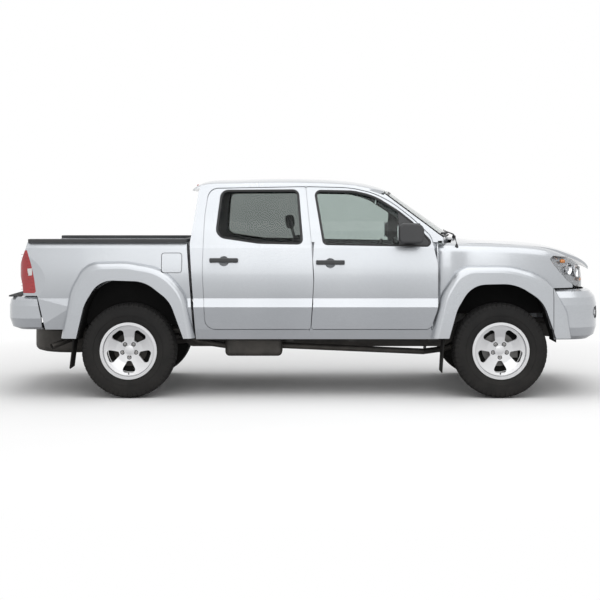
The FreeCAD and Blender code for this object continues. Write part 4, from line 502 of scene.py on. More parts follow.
# slot, dark tone, light tone, roughness from and to, metal, patches (broad scale, fine scale, share of
# the fine), bump (strength, reach), then film (low, high, amount), flake (scale, share) and other extras
looks = {
    "bodyPaint": ("body_paint", (0.44, 0.46, 0.485), (0.52, 0.54, 0.565), (0.25, 0.30), 0.6,
                  (1.3, 900.0, 0.22), (0.004, 0.0002),
                  {"film": (0.30, 0.72, 0.20), "flake": (2400.0, 0.15), "coat": 0.8}),
    "blackSteel": ("black_steel", (0.012, 0.012, 0.013), (0.032, 0.031, 0.03), (0.45, 0.7), 0.0,
                   (4.0, 90.0, 0.5), (0.25, 0.001), {"film": (0.20, 0.75, 0.5)}),
    "greyPlastic": ("grey_plastic", (0.040, 0.041, 0.043), (0.060, 0.061, 0.063), (0.5, 0.65), 0.0,
                    (3.0, 800.0, 0.6), (0.35, 0.0003), {"film": (0.25, 0.8, 0.25)}),
    "blackPlastic": ("black_plastic", (0.014, 0.014, 0.015), (0.026, 0.026, 0.027), (0.42, 0.6), 0.0,
                     (3.0, 900.0, 0.6), (0.35, 0.0003), {"film": (0.25, 0.8, 0.3)}),
    "frontGlass": ("window_glass", (0.55, 0.605, 0.585), (0.59, 0.645, 0.625), (0.0, 0.0), 0.0,
                   (1.0, 4.0, 0.3), (0, 0), {"transmission": 1.0, "ior": 1.25}),
    "rearGlass": ("window_glass", (0.385, 0.41, 0.40), (0.425, 0.45, 0.44), (0.0, 0.0), 0.0,
                  (1.0, 4.0, 0.3), (0, 0), {"transmission": 1.0, "ior": 1.16}),
    "lampGlass": ("clear_lens", (0.93, 0.94, 0.945), (0.97, 0.975, 0.98), (0.0, 0.03), 0.0,
                  (2.0, 8.0, 0.3), (0, 0), {"transmission": 1.0, "ior": 1.3}),
    "redLens": ("red_lens", (0.36, 0.006, 0.010), (0.47, 0.012, 0.016), (0.06, 0.12), 0.0,
                (6.0, 260.0, 0.4), (0.2, 0.0008), {"coat": 1.0}),
    "amberLens": ("red_lens", (0.72, 0.21, 0.02), (0.85, 0.30, 0.035), (0.06, 0.12), 0.0,
                  (9.0, 260.0, 0.4), (0.2, 0.0008), {"coat": 1.0}),
    "milkLens": ("clear_lens", (0.62, 0.60, 0.58), (0.78, 0.76, 0.74), (0.08, 0.14), 0.0,
                 (9.0, 240.0, 0.5), (0.2, 0.0008), {"coat": 1.0}),
    "reflector": ("wheel_alloy", (0.74, 0.75, 0.77), (0.88, 0.89, 0.90), (0.05, 0.12), 1.0,
                  (5.0, 40.0, 0.5), (0, 0), {}),
    "lampBezel": ("grey_plastic", (0.33, 0.34, 0.355), (0.42, 0.43, 0.445), (0.22, 0.32), 0.6,
                  (5.0, 200.0, 0.5), (0, 0), {}),
    "tyreRubber": ("tyre_rubber", (0.010, 0.010, 0.0105), (0.020, 0.0195, 0.019), (0.72, 0.88), 0.0,
                   (7.0, 160.0, 0.5), (0.3, 0.0006), {"film": (-0.2, 1.0, 0.08), "specular": 0.3}),
    "heatSteel": ("bare_steel", (0.035, 0.034, 0.033), (0.085, 0.080, 0.074), (0.45, 0.7), 0.7,
                  (9.0, 150.0, 0.6), (0.3, 0.0008), {"film": (0.1, 0.9, 0.3)}),
    "wheelAlloy": ("wheel_alloy", (0.70, 0.705, 0.715), (0.82, 0.825, 0.835), (0.27, 0.36), 0.5,
                   (6.0, 300.0, 0.5), (0.04, 0.0004),
                   {"film": (0.1, 0.9, 0.12), "flake": (1100.0, 0.4), "coat": 0.4}),
    "bareSteel": ("bare_steel", (0.22, 0.215, 0.21), (0.42, 0.41, 0.40), (0.3, 0.5), 0.9,
                  (12.0, 220.0, 0.6), (0.2, 0.0005), {"film": (0.1, 0.9, 0.3)}),
    "engineMetal": ("engine_metal", (0.16, 0.16, 0.162), (0.30, 0.30, 0.30), (0.4, 0.6), 0.75,
                    (8.0, 180.0, 0.6), (0.35, 0.0008), {"film": (0.2, 1.1, 0.35)}),
    "seatCloth": ("seat_cloth", (0.082, 0.083, 0.086), (0.125, 0.126, 0.128), (0.82, 0.95), 0.0,
                  (9.0, 520.0, 0.4), (0.3, 0.0006), {"sheen": 0.3}),
    "trimGrey": ("trim_grey", (0.105, 0.106, 0.108), (0.145, 0.145, 0.147), (0.5, 0.66), 0.0,
                 (3.0, 650.0, 0.6), (0.35, 0.0003), {}),
    # archBlackAndShade: very dark plastic for liners and mud flaps, also the painted shade of the arch walls
    # and the ring behind the spoke windows
    "archBlackAndShade": ("black_plastic", (0.006, 0.006, 0.006), (0.013, 0.013, 0.013), (0.7, 0.85), 0.0,
                  (4.0, 200.0, 0.5), (0.3, 0.0006), {"film": (0.1, 0.9, 0.06), "specular": 0.25}),
    # sealRubberAndShade: black rubber for seals, hoses and valves, also the painted shade round the wheel
    # nuts
    "sealRubberAndShade": ("black_plastic", (0.010, 0.010, 0.011), (0.018, 0.018, 0.019), (0.38, 0.52), 0.0,
                   (5.0, 300.0, 0.5), (0.1, 0.0003), {}),
    "plateBlank": ("bare_steel", (0.60, 0.61, 0.62), (0.70, 0.71, 0.72), (0.35, 0.45), 0.2,
                   (5.0, 200.0, 0.5), (0, 0), {}),
    "mirrorGlass": ("bare_steel", (0.66, 0.69, 0.72), (0.72, 0.75, 0.78), (0.02, 0.04), 1.0,
                    (4.0, 30.0, 0.4), (0, 0), {}),
    "headCloth": ("seat_cloth", (0.46, 0.455, 0.44), (0.54, 0.535, 0.52), (0.85, 0.95), 0.0,
                  (5.0, 500.0, 0.5), (0.3, 0.0004), {"sheen": 0.3}),
}
finishes = {name: surface(name, *row[1:-1], **row[-1]) for name, row in looks.items()}

nodeFinish = {
    "bodyPaint": ["cab_sides", "roof", "cab_back", "cowl", "front_wings", "front_bumper", "hood", "load_bed",
                  "fuel_flap", "tailgate", "rear_bumper"],
    "blackSteel": ["engine_bay", "frame", "rear_axle", "leaf_springs", "front_suspension", "fuel_tank"],
    "engineMetal": ["engine", "knuckle_left", "knuckle_right"],
    "heatSteel": ["exhaust", "spare_wheel"],
    "blackPlastic": ["steering_wheel"],
    "archBlackAndShade": ["wheel_liners", "mud_flaps"],
    "greyPlastic": ["bed_rails", "grille"],
    "trimGrey": ["dashboard", "cab_floor"],
    "seatCloth": ["seats"],
    "frontGlass": ["cab_glass"],
    "rearGlass": [],
    "lampGlass": ["headlamps", "fog_lamps"],
    "redLens": ["tail_lamps"],
    "tyreRubber": [],
    "wheelAlloy": [],
}
cornerNodes = {"bodyPaint": "door", "greyPlastic": "door_fittings", "tyreRubber": "tyre",
               "wheelAlloy": "rim"}
for end in ends:
    for side in sides:
        nodeFinish[end + "Glass"].append(f"door_glass_{end}_{side}")
        for finishName, nodeName in cornerNodes.items():
            nodeFinish[finishName].append(f"{nodeName}_{end}_{side}")


def finishNodes():
    for finishName, nodeNames in nodeFinish.items():
        for nodeName in nodeNames:
            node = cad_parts[nodeName]
            if not node.material_slots:
                node.data.materials.append(finishes[finishName])
            for holder in node.material_slots:
                holder.material = finishes[finishName]
    left = [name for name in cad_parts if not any(name in names for names in nodeFinish.values())]
    print("stage: finishes on CAD nodes, left over:", left)


finishNodes()


def add(name, parts, finishName, body="chassis", smoothAngle=smoothing["usual"]):
    return makePiece(name, parts, finishes[finishName], body, smoothAngle)


# A piece on the left and its mirror image on the right; any body but the chassis has its side in its name
def addBoth(name, parts, finishName, body="chassis", smoothAngle=smoothing["usual"]):
    made = {}
    for side, sign in sides.items():
        bodyName = body if body == "chassis" else f"{body}_{side}"
        made[side] = add(f"{name}_{side}", onSide(parts, sign), finishName, bodyName, smoothAngle)
    return made


# Parts of a plan: blocks and knobs are rows for softBlock and turned, a rod is its points, steps and tube
def partsOf(plan):
    parts = softBlocks(plan.get("blocks", []))
    parts += [tube(smoothPath(points, steps), *rest) for points, steps, *rest in plan.get("rods", [])]
    return parts + [turned(*row) for row in plan.get("knobs", [])]


def addPlans(plans):
    for name, plan in plans.items():
        add(name, partsOf(plan), plan["finish"], plan.get("body", "chassis"))


# Tyres and wheels

tyre = {
    "pitches": 58,
    "grooveDepth": 9.0,
    "lugDepth": 4.5,
    "shoulder": 119,  # offset beyond which the cuts go inboard, not down
    "otherPhase": 0.5,  # of the ribs on the other side of the middle
    # share of a pitch, and how deep the surface lies there
    "across": [(0.0, 0), (0.02, 1), (0.20, 1), (0.23, 0), (0.38, 0), (0.52, 0), (0.54, 0.45), (0.57, 0.45),
               (0.59, 0), (0.76, 0), (0.90, 0)],
    # offset from the tyre's middle, radius, rib phase, share of the depth that cross grooves reach
    "half": [(0, 407.6, 0.62, 0.8), (15, 407.6, 0.62, 0.8), (19, 407.4, 0.62, 0.8), (21.5, 398.4, 0.55, 0),
             (28, 398.4, 0.4, 0), (30.5, 407.0, 0.3, 1), (48, 406.4, 0.3, 1), (66, 405.6, 0.3, 1),
             (69, 396.8, 0.2, 0), (76, 396.4, 0.08, 0), (79, 404.6, 0, 1), (92, 403.0, 0, 1),
             (104, 400.6, 0, 1), (112, 397.2, 0, 1), (117.5, 392.5, 0, 1), (120.5, 386.0, 0, 1),
             (124.0, 374.0, 0, 0.9), (126.0, 364.0, 0, 0.75), (125.8, 361.0, 0, 0), (128.5, 352.0, 0, 0),
             (131.3, 334.0, 0, 0),
             (132.3, 318.0, 0, 0), (132.0, 304.0, 0, 0), (129.4, 302.6, 0, 0), (128.8, 299.6, 0, 0),
             (130.6, 297.8, 0, 0), (129.6, 288.0, 0, 0), (126.0, 270.0, 0, 0), (124.6, 268.6, 0, 0),
             (123.4, 266.0, 0, 0), (123.6, 263.6, 0, 0), (119.0, 254.0, 0, 0), (115.6, 247.0, 0, 0),
             (113.6, 243.0, 0, 0), (111.0, 236.0, 0, 0), (108.0, 231.6, 0, 0), (100.0, 232.0, 0, 0)],
}


# Radius follows the half profile on both sides of the middle; inside a cross groove it drops by the
# depth, on the shoulders the offset does, and each rib turns by its own phase
def treadRings():
    half = np.array(tyre["half"])
    other = half[:0:-1] * np.array([-1, 1, 1, 1])
    other[:, 2] += tyre["otherPhase"]
    profile = np.concatenate([other, half])
    columns = np.array(tyre["across"])
    share = (np.arange(tyre["pitches"])[:, None] + columns[None, :, 0]).reshape(-1)
    deep = np.tile(columns[:, 1], tyre["pitches"])[:, None]
    angle = 2 * pi * (share[:, None] + profile[None, :, 2]) / tyre["pitches"]
    onShoulder = np.abs(profile[:, 0]) > tyre["shoulder"]
    depth = np.where(onShoulder, tyre["lugDepth"], tyre["grooveDepth"]) * profile[:, 3]
    radius = profile[None, :, 1] - deep * np.where(onShoulder, 0, depth)[None]
    offset = profile[None, :, 0] - np.sign(profile[None, :, 0]) * deep * np.where(onShoulder, depth, 0)[None]
    return np.stack([radius * np.sin(angle), offset + 0 * angle, radius * np.cos(angle)], axis=-1) * mm


# lengths in mm from the wheel's middle; profiles are rows of radius and offset outboard
wheel = {
    "nuts": 5,
    "nutReach": 62,
    "nutOffset": 48,
    "nut": [(13.2, -1), (13.2, 3.0), (11.0, 4.4), (9.8, 4.6), (9.8, 12.0), (7.6, 14.6), (0.2, 15.2)],
    # nutShadeRing: a dark ring round each nut, painted shade of the recess the nut sits in
    "nutShadeRing": [(12.6, 49), (12.6, 53.6), (14.6, 55.0), (18.4, 55.0), (19.0, 54.4), (19.0, 49)],
    # brakeShieldShade: a black ring behind the spoke windows, a brake backing plate kept dark as painted
    # shade inside the wheel
    "brakeShieldShade": [(136, -52), (190, -52), (197, -46), (197, -49), (191, -55), (136, -55)],
    "cap": [(47.5, 50.0), (47.5, 54.0), (45.5, 55.8), (42.5, 55.0), (41.0, 53.4), (30.0, 55.6), (16.0, 57.0),
            (0.3, 57.6)],
    "valveFoot": (0, 84, -203),
    "valveHead": (0, 106, -190),
    "valveRadii": (5.5, 5.5, 4.2, 4.0, 4.0, 5.0, 5.0, 3.6),
    "around": {"nut": 6, "nutShadeRing": 28, "brakeShieldShade": 72, "cap": 64, "valve": 14},
}


def makeWheels():
    around = wheel["around"]
    for end in ends:
        body = f"wheel_{end}"
        centre = np.array([truck[end + "Axle"], truck["wheelY"], truck["wheelZ"]])
        # the loop closes round the wheel, and the inner bead lines join across under the tread
        tread = (treadRings() + centre, "loop")
        treads = addBoth(f"tread_{end}", [tread], "tyreRubber", body, smoothing["tyre"])
        for side, piece in treads.items():
            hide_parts(f"tyre_{end}_{side}")
        nuts = []
        # seats gathers the dark rings round the nuts, painted shade of the recesses they sit in
        seats = []
        for turn in 2 * pi * (np.arange(wheel["nuts"]) + 0.5) / wheel["nuts"]:
            spot = centre + mm * wheel["nutReach"] * np.array([math.sin(turn), 0, math.cos(turn)])
            nuts.append(turned(wheel["nut"], spot + [0, wheel["nutOffset"] * mm, 0], "y", around["nut"]))
            seats.append(turned(wheel["nutShadeRing"], spot, "y", around["nutShadeRing"], 1, "loop"))
        addBoth(f"wheel_nuts_{end}", nuts, "bareSteel", body, smoothing["nut"])
        addBoth(f"nut_seats_{end}", seats, "sealRubberAndShade", body, smoothing["soft"])
        # A black ring behind the spoke windows: a brake backing plate, kept dark as painted shade inside the
        # wheel
        shield = turned(wheel["brakeShieldShade"], centre, "y", around["brakeShieldShade"], 1, "loop")
        holder = "knuckle" if end == "front" else "chassis"
        addBoth(f"brake_shield_{end}", [shield], "archBlackAndShade", holder, smoothing["soft"])
        cap = turned(wheel["cap"], centre, "y", around["cap"])
        addBoth(f"wheel_cap_{end}", [cap], "wheelAlloy", body, smoothing["cap"])
        foot, head = (centre + mm * np.array(wheel[name]) for name in ("valveFoot", "valveHead"))
        radii = np.array(wheel["valveRadii"]) * mm
        for side, sign in sides.items():
            path = np.linspace(foot, head, len(radii)) * np.array([1, sign, 1])
            stem = tube(path, radii, around["valve"])
            add(f"valve_{end}_{side}", [stem], "sealRubberAndShade", f"{body}_{side}")


# turns are degrees round the wheel from straight ahead, reach is the radius there
arches = {
    "steps": 60,
    "wallThick": 0.003,
    "wallSlack": 0.004,
    "sheetThick": 3.0,  # mm
    "outer": 0.885,
    "rear": {"turns": (12, 30, 45, 60, 75, 90, 105, 120, 135, 150, 168), "inner": 0.610, "lowest": 0.200,
             "reach": (0.470, 0.480, 0.518, 0.552, 0.586, 0.597, 0.616, 0.590, 0.524, 0.466, 0.444)},
    "front": {"turns": (20, 35, 55, 90, 125, 145, 160), "inner": 0.4665, "lowest": 0.292,
              "reach": (0.54, 0.575, 0.60, 0.612, 0.61, 0.58, 0.545)},
}


def archReach(arch):
    turn = np.radians(np.linspace(arch["turns"][0], arch["turns"][-1], arches["steps"]))
    return turn, np.interp(np.degrees(turn), arch["turns"], arch["reach"])


# An upright black sheet between a level above the axle and a reach that changes round the wheel, painted
# shade that closes the arch inboard
def archShadeWall(end):
    arch = arches[end]
    turn, reach = archReach(arch)
    high = reach * np.sin(turn) > arch["lowest"] + arches["wallSlack"]
    turn = turn[high]
    low = arch["lowest"] / np.sin(turn)
    radii = np.stack([reach[high], reach[high], low, low], axis=1)
    deep = np.array([0, arches["wallThick"], arches["wallThick"], 0]) + arch["inner"]
    return np.stack([truck[end + "Axle"] + radii * np.cos(turn)[:, None], np.broadcast_to(deep, radii.shape),
                     truck["wheelZ"] + radii * np.sin(turn)[:, None]], axis=-1), "tube"


# A black sheet round the inside of each rear arch, and walls that close the arches inboard: dark sheets that
# are partly the real dark undercoating and partly painted shade inside the arches
def makeArchShadeLiners():
    arch = arches["rear"]
    turn, reach = archReach(arch)
    x = truck["rearAxle"] + reach * np.cos(turn)
    z = truck["wheelZ"] + reach * np.sin(turn)
    path = np.stack([x, np.full(len(x), (arches["outer"] + arch["inner"]) / 2), z], axis=-1)
    sheet = carried(path, plank(arches["sheetThick"], (arches["outer"] - arch["inner"]) / mm), (0, 1, 0))
    addBoth("rear_arch_shade_liner", [sheet, archShadeWall("rear")], "archBlackAndShade", smoothAngle=smoothing["soft"])
    addBoth("front_arch_shade_wall", [archShadeWall("front")], "archBlackAndShade", smoothAngle=smoothing["soft"])


makeWheels()
makeArchShadeLiners()
print("stage: tyres and wheels")


# Window seals and other rubber round the cab

# corners are shares along, shares up and a radius in shares of the belt's height
window = {
    "rear": [(0.247, 1.795, 0.045), (0.454, 1.802, 0.034), (0.466, 1.014, 0.027), (0.349, 1.027, 0.3),
             (0.234, 1.118, 0.06)],
    "front": [(0.502, 1.795, 0.03), (0.606, 1.785, 0.35), (0.662, 1.715, 0.4), (0.728, 1.487, 0.6),
              (0.77, 1.302, 0.6), (0.813, 1.046, 0.045), (0.807, 0.991, 0.02), (0.526, 1.007, 0.027)],
    "sealSection": [(-0.6, -10), (1.8, -9), (3.0, -3), (3.0, 7), (1.4, 11), (-0.6, 12)],  # mm out, mm across
    "steps": 220,
}


# The outline lies on the curved side; its section stands square to the line and looks outboard
def makeSeals():
    section = np.array(window["sealSection"]) * mm
    for end in ends:
        outline = evenly(roundedOutline(placedCorners(window[end]), 9), window["steps"])
        path = np.stack([outline[:, 0], sideY(outline[:, 1]), outline[:, 1]], axis=-1)
        outward = path - path.mean(axis=0)
        outward[:, 1] = 0
        way = np.roll(path, -1, axis=0) - np.roll(path, 1, axis=0)
        way /= np.linalg.norm(way, axis=1, keepdims=True)
        across = np.cross(way, np.array([0.0, 1.0, 0.0]))
        across *= np.sign(np.sum(across * outward, axis=1, keepdims=True))
        across /= np.linalg.norm(across, axis=1, keepdims=True)
        face = np.cross(way, across)
        face *= np.sign(face[:, 1:2])
        rings = path[:, None] + face[:, None] * section[None, :, :1] + across[:, None] * section[None, :, 1:]
        addBoth(f"window_seal_{end}", [(rings, "loop")], "sealRubberAndShade", f"door_{end}", smoothing["soft"])


mirror = {
    "glass": ((0.7915, 1.0125, 1.4235), (0.006, 0.100, 0.128), 0.0028, 0, 4),
    "cap": ((0.902, 1.0125, 1.500), (0.15, 0.094, 0.012), 0.0055, 2, 5),
    "rim": [(1.068, 1.492, 0.025), (1.068, 1.353, 0.025), (0.957, 1.353, 0.03), (0.957, 1.492, 0.03)],
    "rimX": 0.7935,
    "rimRadius": 0.0032,
}


def makeMirrors():
    body = "door_front"
    addBoth("mirror_glass", [softBlock(*mirror["glass"])], "mirrorGlass", body)
    rim = rodRound(mirror["rim"], 90, 7, mirror["rimX"], mirror["rimRadius"], 10)
    addBoth("mirror_rim", [rim], "blackPlastic", body)
    addBoth("mirror_cap", [softBlock(*mirror["cap"])], "greyPlastic", body)


screen = {
    # half width, then x and z in the middle and how far they fall at the side
    "foot": (0.775, 1.314, 0.118, 1.388, 0.005),
    "head": (0.593, 0.748, 0.047, 1.788, 0.027),
    # the band: half width and share up at foot and head, and the side edge from its foot
    "bandFoot": (0.752, 0.022),
    "bandHead": (0.572, 0.965),
    "bandSideY": (0.762, -0.178),
    "bandSideUp": (0.03, 0.93),
    "bandLift": (0.003, 0, 0.0045),
    "bandUp": (0.55, 0, 0.83),
    "bandSection": [(-15, 0), (15, 0), (15, 2.6), (12, 3.4), (-12, 3.4), (-15, 2.6)],
}


# A point on the windscreen: up runs from its foot to its head, both bowed with the square of y
def screenPoint(y, up):
    y = np.asarray(y, float)
    up = np.asarray(up, float)

    def bowed(half, x, fallX, z, fallZ):
        return x - fallX * (y / half) ** 2, z - fallZ * (y / half) ** 2
    (footX, footZ), (headX, headZ) = bowed(*screen["foot"]), bowed(*screen["head"])
    return np.stack([footX + (headX - footX) * up, y, footZ + (headZ - footZ) * up], axis=-1)


# A black band that follows the edges of the windscreen
def makeScreenBand():
    side = np.linspace(0, 1, 30)
    footHalf, footUp = screen["bandFoot"]
    headHalf, headUp = screen["bandHead"]
    foot = screenPoint(np.linspace(-footHalf, footHalf, 60), footUp)
    head = screenPoint(np.linspace(headHalf, -headHalf, 50), headUp)
    (y, yWay), (up, upWay) = screen["bandSideY"], screen["bandSideUp"]
    left = screenPoint(y + yWay * side, up + upWay * side)[1:-1]
    loop = evenly(np.concatenate([foot, left, head, flipped(left)[::-1]]), 240) + screen["bandLift"]
    band = carried(loop, screen["bandSection"], screen["bandUp"], "loop")
    add("windscreen_band", [band], "sealRubberAndShade", smoothAngle=smoothing["soft"])


wiper = {
    "pivotY": (0.46, -0.22),
    "tipY": (-0.12, -0.70),
    "steps": 24,
    "pivotUp": -0.05,
    "pivotLift": np.array([0.02, 0, 0.004]),
    "heel": 0.06,
    "bladeUp": (0.035, 0.03),
    "bladeLift": np.array([0.008, 0, 0.011]),
    "joinLift": np.array([0.006, 0, 0.012]),
    "elbow": np.array([-0.01, -0.05, 0.024]),
    "armLift": np.array([0, 0, 0.012]),
    "armRadii": (0.008, 0.005),
    "bar": [(-3, -8), (3, -8), (5, 0), (2.5, 7), (-2.5, 7), (-5, 0)],
    "barUp": (0.6, 0, 0.8),
    "knob": [(17, -12), (17, 8), (13, 15), (0.2, 17)],
}


# Each arm runs from its pivot below the glass to the middle of a blade that lies along the foot
def makeWipers():
    steps = wiper["steps"]
    low, rise = wiper["bladeUp"]
    for index, (pivotY, tipY) in enumerate(zip(wiper["pivotY"], wiper["tipY"])):
        pivot = screenPoint(pivotY, wiper["pivotUp"]) + wiper["pivotLift"]
        y = np.linspace(pivotY - wiper["heel"], tipY, steps)
        blade = screenPoint(y, low + rise * np.linspace(0, 1, steps)) + wiper["bladeLift"]
        join = blade[steps // 2] + wiper["joinLift"]
        arm = smoothPath([pivot, pivot + wiper["elbow"], (pivot + join) / 2 + wiper["armLift"], join], steps)
        parts = [carried(blade, wiper["bar"], wiper["barUp"]),
                 tube(arm, np.linspace(*wiper["armRadii"], steps), 10),
                 turned(wiper["knob"], pivot, "z", 24)]
        add(f"wiper_{index + 1}", parts, "blackPlastic")


aerial = {
    "foot": ((1.313, -0.80, 1.292), (1.313, -0.80, 1.328)),
    "mast": ((1.313, -0.80, 1.326), (1.299, -0.80, 1.386)),
    "footRadii": ((0, 0.2, 0.5, 0.8, 1), (0.017, 0.0165, 0.013, 0.008, 0.0065)),
    "mastRadii": ((0, 0.9, 1), (0.0034, 0.003, 0.002)),
}


def makeAerial():
    share = np.linspace(0, 1, 14)
    parts = []
    for name, around in (("foot", 24), ("mast", 12)):
        radius = np.interp(share, *aerial[name + "Radii"])
        parts.append(tube(np.linspace(*np.array(aerial[name]), len(share)), radius, around, (1, 0, 0)))
    add("aerial_foot", parts, "blackPlastic")


makeSeals()
makeMirrors()
makeWipers()
makeAerial()
makeScreenBand()
print("stage: seals, mirrors and wipers")


# Lamps

fieldRule = {"facing": 0.35, "nearest": 6, "softening": 1e-7}


# The outer face of a CAD node as a height over two axes: the mean of its nearest corners, each weighed
# by one over its squared distance. The corners come along, as places on the two axes.
def outerField(nodeName, way, uAxis, vAxis, leastY=-math.inf):
    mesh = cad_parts[nodeName].data
    co = np.empty(len(mesh.vertices) * 3, np.float32)
    mesh.vertices.foreach_get("co", co)
    normal = np.empty(len(mesh.polygons) * 3, np.float32)
    mesh.polygons.foreach_get("normal", normal)
    corner = np.empty(len(mesh.loops), np.int32)
    mesh.loops.foreach_get("vertex_index", corner)
    way = np.array(way, float) / np.linalg.norm(way)
    facing = normal.reshape(-1, 3) @ way > fieldRule["facing"]
    used = co.reshape(-1, 3)[np.unique(corner.reshape(-1, 3)[facing])].astype(float)
    used = used[used[:, 1] > leastY]
    flat = used @ np.stack([np.array(uAxis, float), np.array(vAxis, float)]).T
    height = used @ way

    def heightAt(u, v):
        u, v = np.broadcast_arrays(np.asarray(u, float), np.asarray(v, float))
        gap = (u.reshape(-1, 1) - flat[None, :, 0]) ** 2 + (v.reshape(-1, 1) - flat[None, :, 1]) ** 2
        nearest = np.argsort(gap, axis=1)[:, :fieldRule["nearest"]]
        weight = 1 / (np.take_along_axis(gap, nearest, 1) + fieldRule["softening"])
        return (np.sum(height[nearest] * weight, axis=1) / weight.sum(axis=1)).reshape(u.shape)
    return heightAt, flat


headlamp = {
    "diagonal": np.array([1.0, 1.0, 0.25]) / np.linalg.norm([1.0, 1.0, 0.25]),
    "endGap": 0.012,
    "reach": 0.03,
    "topGap": 0.016,
    "lowGap": 0.014,
    "columns": 30,
    "rows": 12,
    "linerDepth": 0.062,
    "linerThick": np.array([0.0025, 0.0025, 0.0]),
    # along the lens, height, mouth radius, depth of the mouth's middle below the lens
    "beams": [(1.235, 1.085, 0.052, 0.034), (1.118, 1.105, 0.047, 0.034)],
    "bowlDepth": 0.040,
    "way": (0.86, 0.48, 0.04),
    "bulb": [(0.5, -38), (6.5, -37), (7.0, -20), (5.0, -15), (0.4, -13)],
    # along the lens, height, size
    "amber": [(1.045, 1.172, (0.050, 0.026, 0.032)), (1.300, 1.010, (0.030, 0.075, 0.030))],
    "amberDepth": 0.022,
    "amberRadius": 0.011,
}
bowl = {"root": 0.02, "steps": 12, "skin": (0.0025, -0.003),
        "lip": [(1.03, 0.002), (1.07, 0.0), (1.07, -0.004)]}


# A parabola from its root to its mouth, with a rolled lip and an outer skin
def bowlProfile(radius, depth):
    t = np.linspace(bowl["root"], 1, bowl["steps"])
    inside = np.stack([radius * np.sqrt(t), depth * (t - 1)], axis=-1)
    lip = np.array(bowl["lip"]) * [radius, 1]
    return np.concatenate([inside, lip, (inside + bowl["skin"])[::-1]])


# A grey liner lies under the lens at a depth, cut to the lens's own outline; bowls stand on it
def makeHeadlamps():
    diagonal = headlamp["diagonal"]
    along45 = np.array([1.0, -1.0, 0.0]) / math.sqrt(2)
    heightAt, flat = outerField("headlamps", diagonal, along45, (0, 0, 1), 0.0)
    u = np.linspace(flat[:, 0].min() + headlamp["endGap"], flat[:, 0].max() - headlamp["endGap"],
                    headlamp["columns"])
    close = np.abs(flat[None, :, 0] - u[:, None]) < headlamp["reach"]
    top = np.where(close, flat[None, :, 1], -np.inf).max(axis=1) - headlamp["topGap"]
    low = np.where(close, flat[None, :, 1], np.inf).min(axis=1) + headlamp["lowGap"]
    v = low[:, None] + (top - low)[:, None] * np.linspace(0, 1, headlamp["rows"])[None]

    def onLens(u, v, deep):
        w = heightAt(u, v) - deep
        outward = (w - diagonal[2] * v) / math.hypot(diagonal[0], diagonal[1])
        return (np.asarray(u)[..., None] * along45 + outward[..., None] * np.array([1, 1, 0]) / math.sqrt(2)
                + np.asarray(v)[..., None] * np.array([0, 0, 1.0]))
    liner = onLens(np.repeat(u[:, None], headlamp["rows"], axis=1), v, headlamp["linerDepth"])
    shell = np.concatenate([liner, (liner - headlamp["linerThick"])[:, ::-1]], axis=1)
    addBoth("lamp_liner", [(shell, "tube")], "lampBezel", smoothAngle=smoothing["shell"])
    bowls = []
    bulbs = []
    for u, v, radius, deep in headlamp["beams"]:
        centre = onLens(u, v, deep)
        profile = bowlProfile(radius, headlamp["bowlDepth"])
        bowls.append(turnedAlong(profile, centre, headlamp["way"], 44, "hose"))
        bulbs.append(turnedAlong(np.array(headlamp["bulb"]) * mm, centre, headlamp["way"], 18))
    addBoth("lamp_bowls", bowls, "reflector", smoothAngle=smoothing["soft"])
    addBoth("lamp_bulbs", bulbs, "milkLens")
    blocks = [(onLens(u, v, headlamp["amberDepth"]), size, headlamp["amberRadius"], 1, 5)
              for u, v, size in headlamp["amber"]]
    addBoth("lamp_amber", softBlocks(blocks), "amberLens")


fogLamp = {
    "centre": (2.520, 0.688, 0.7275),
    "bowl": (0.045, 0.026),
    "ringCentre": (2.5285, 0.688, 0.7275),
    "ring": [(52.5, 0), (57, 0), (58, 4), (55, 7), (52.5, 5)],
}


def makeFogLamps():
    ahead = (1, 0, 0)
    fog = turnedAlong(bowlProfile(*fogLamp["bowl"]), fogLamp["centre"], ahead, 44, "hose")
    addBoth("fog_bowl", [fog], "reflector", smoothAngle=smoothing["soft"])
    ring = turnedAlong(np.array(fogLamp["ring"]) * mm, fogLamp["ringCentre"], ahead, 56, "loop")
    addBoth("fog_ring", [ring], "blackPlastic")


tailLamp = {
    "leastY": 0.78,
    "windowX": (-2.446, -2.352),
    "windowLow": 1.052,
    "windowHigh": 0.060,
    "tilt": 0.10,  # rise along x about the middle
    "middleX": -2.40,
    "stands": 0.0012,
    "thick": 0.004,
    "ribLevels": (0.935, 1.235, 11),
    "noRibs": (1.03, 1.13),
    # levels, and the lens's front edge there
    "edge": ((0.903, 1.026, 1.131, 1.223, 1.272), (-2.326, -2.343, -2.364, -2.388, -2.402)),
    "ribStart": -2.450,
    "ribRadius": 0.0016,
    "ribSink": 0.0004,
}


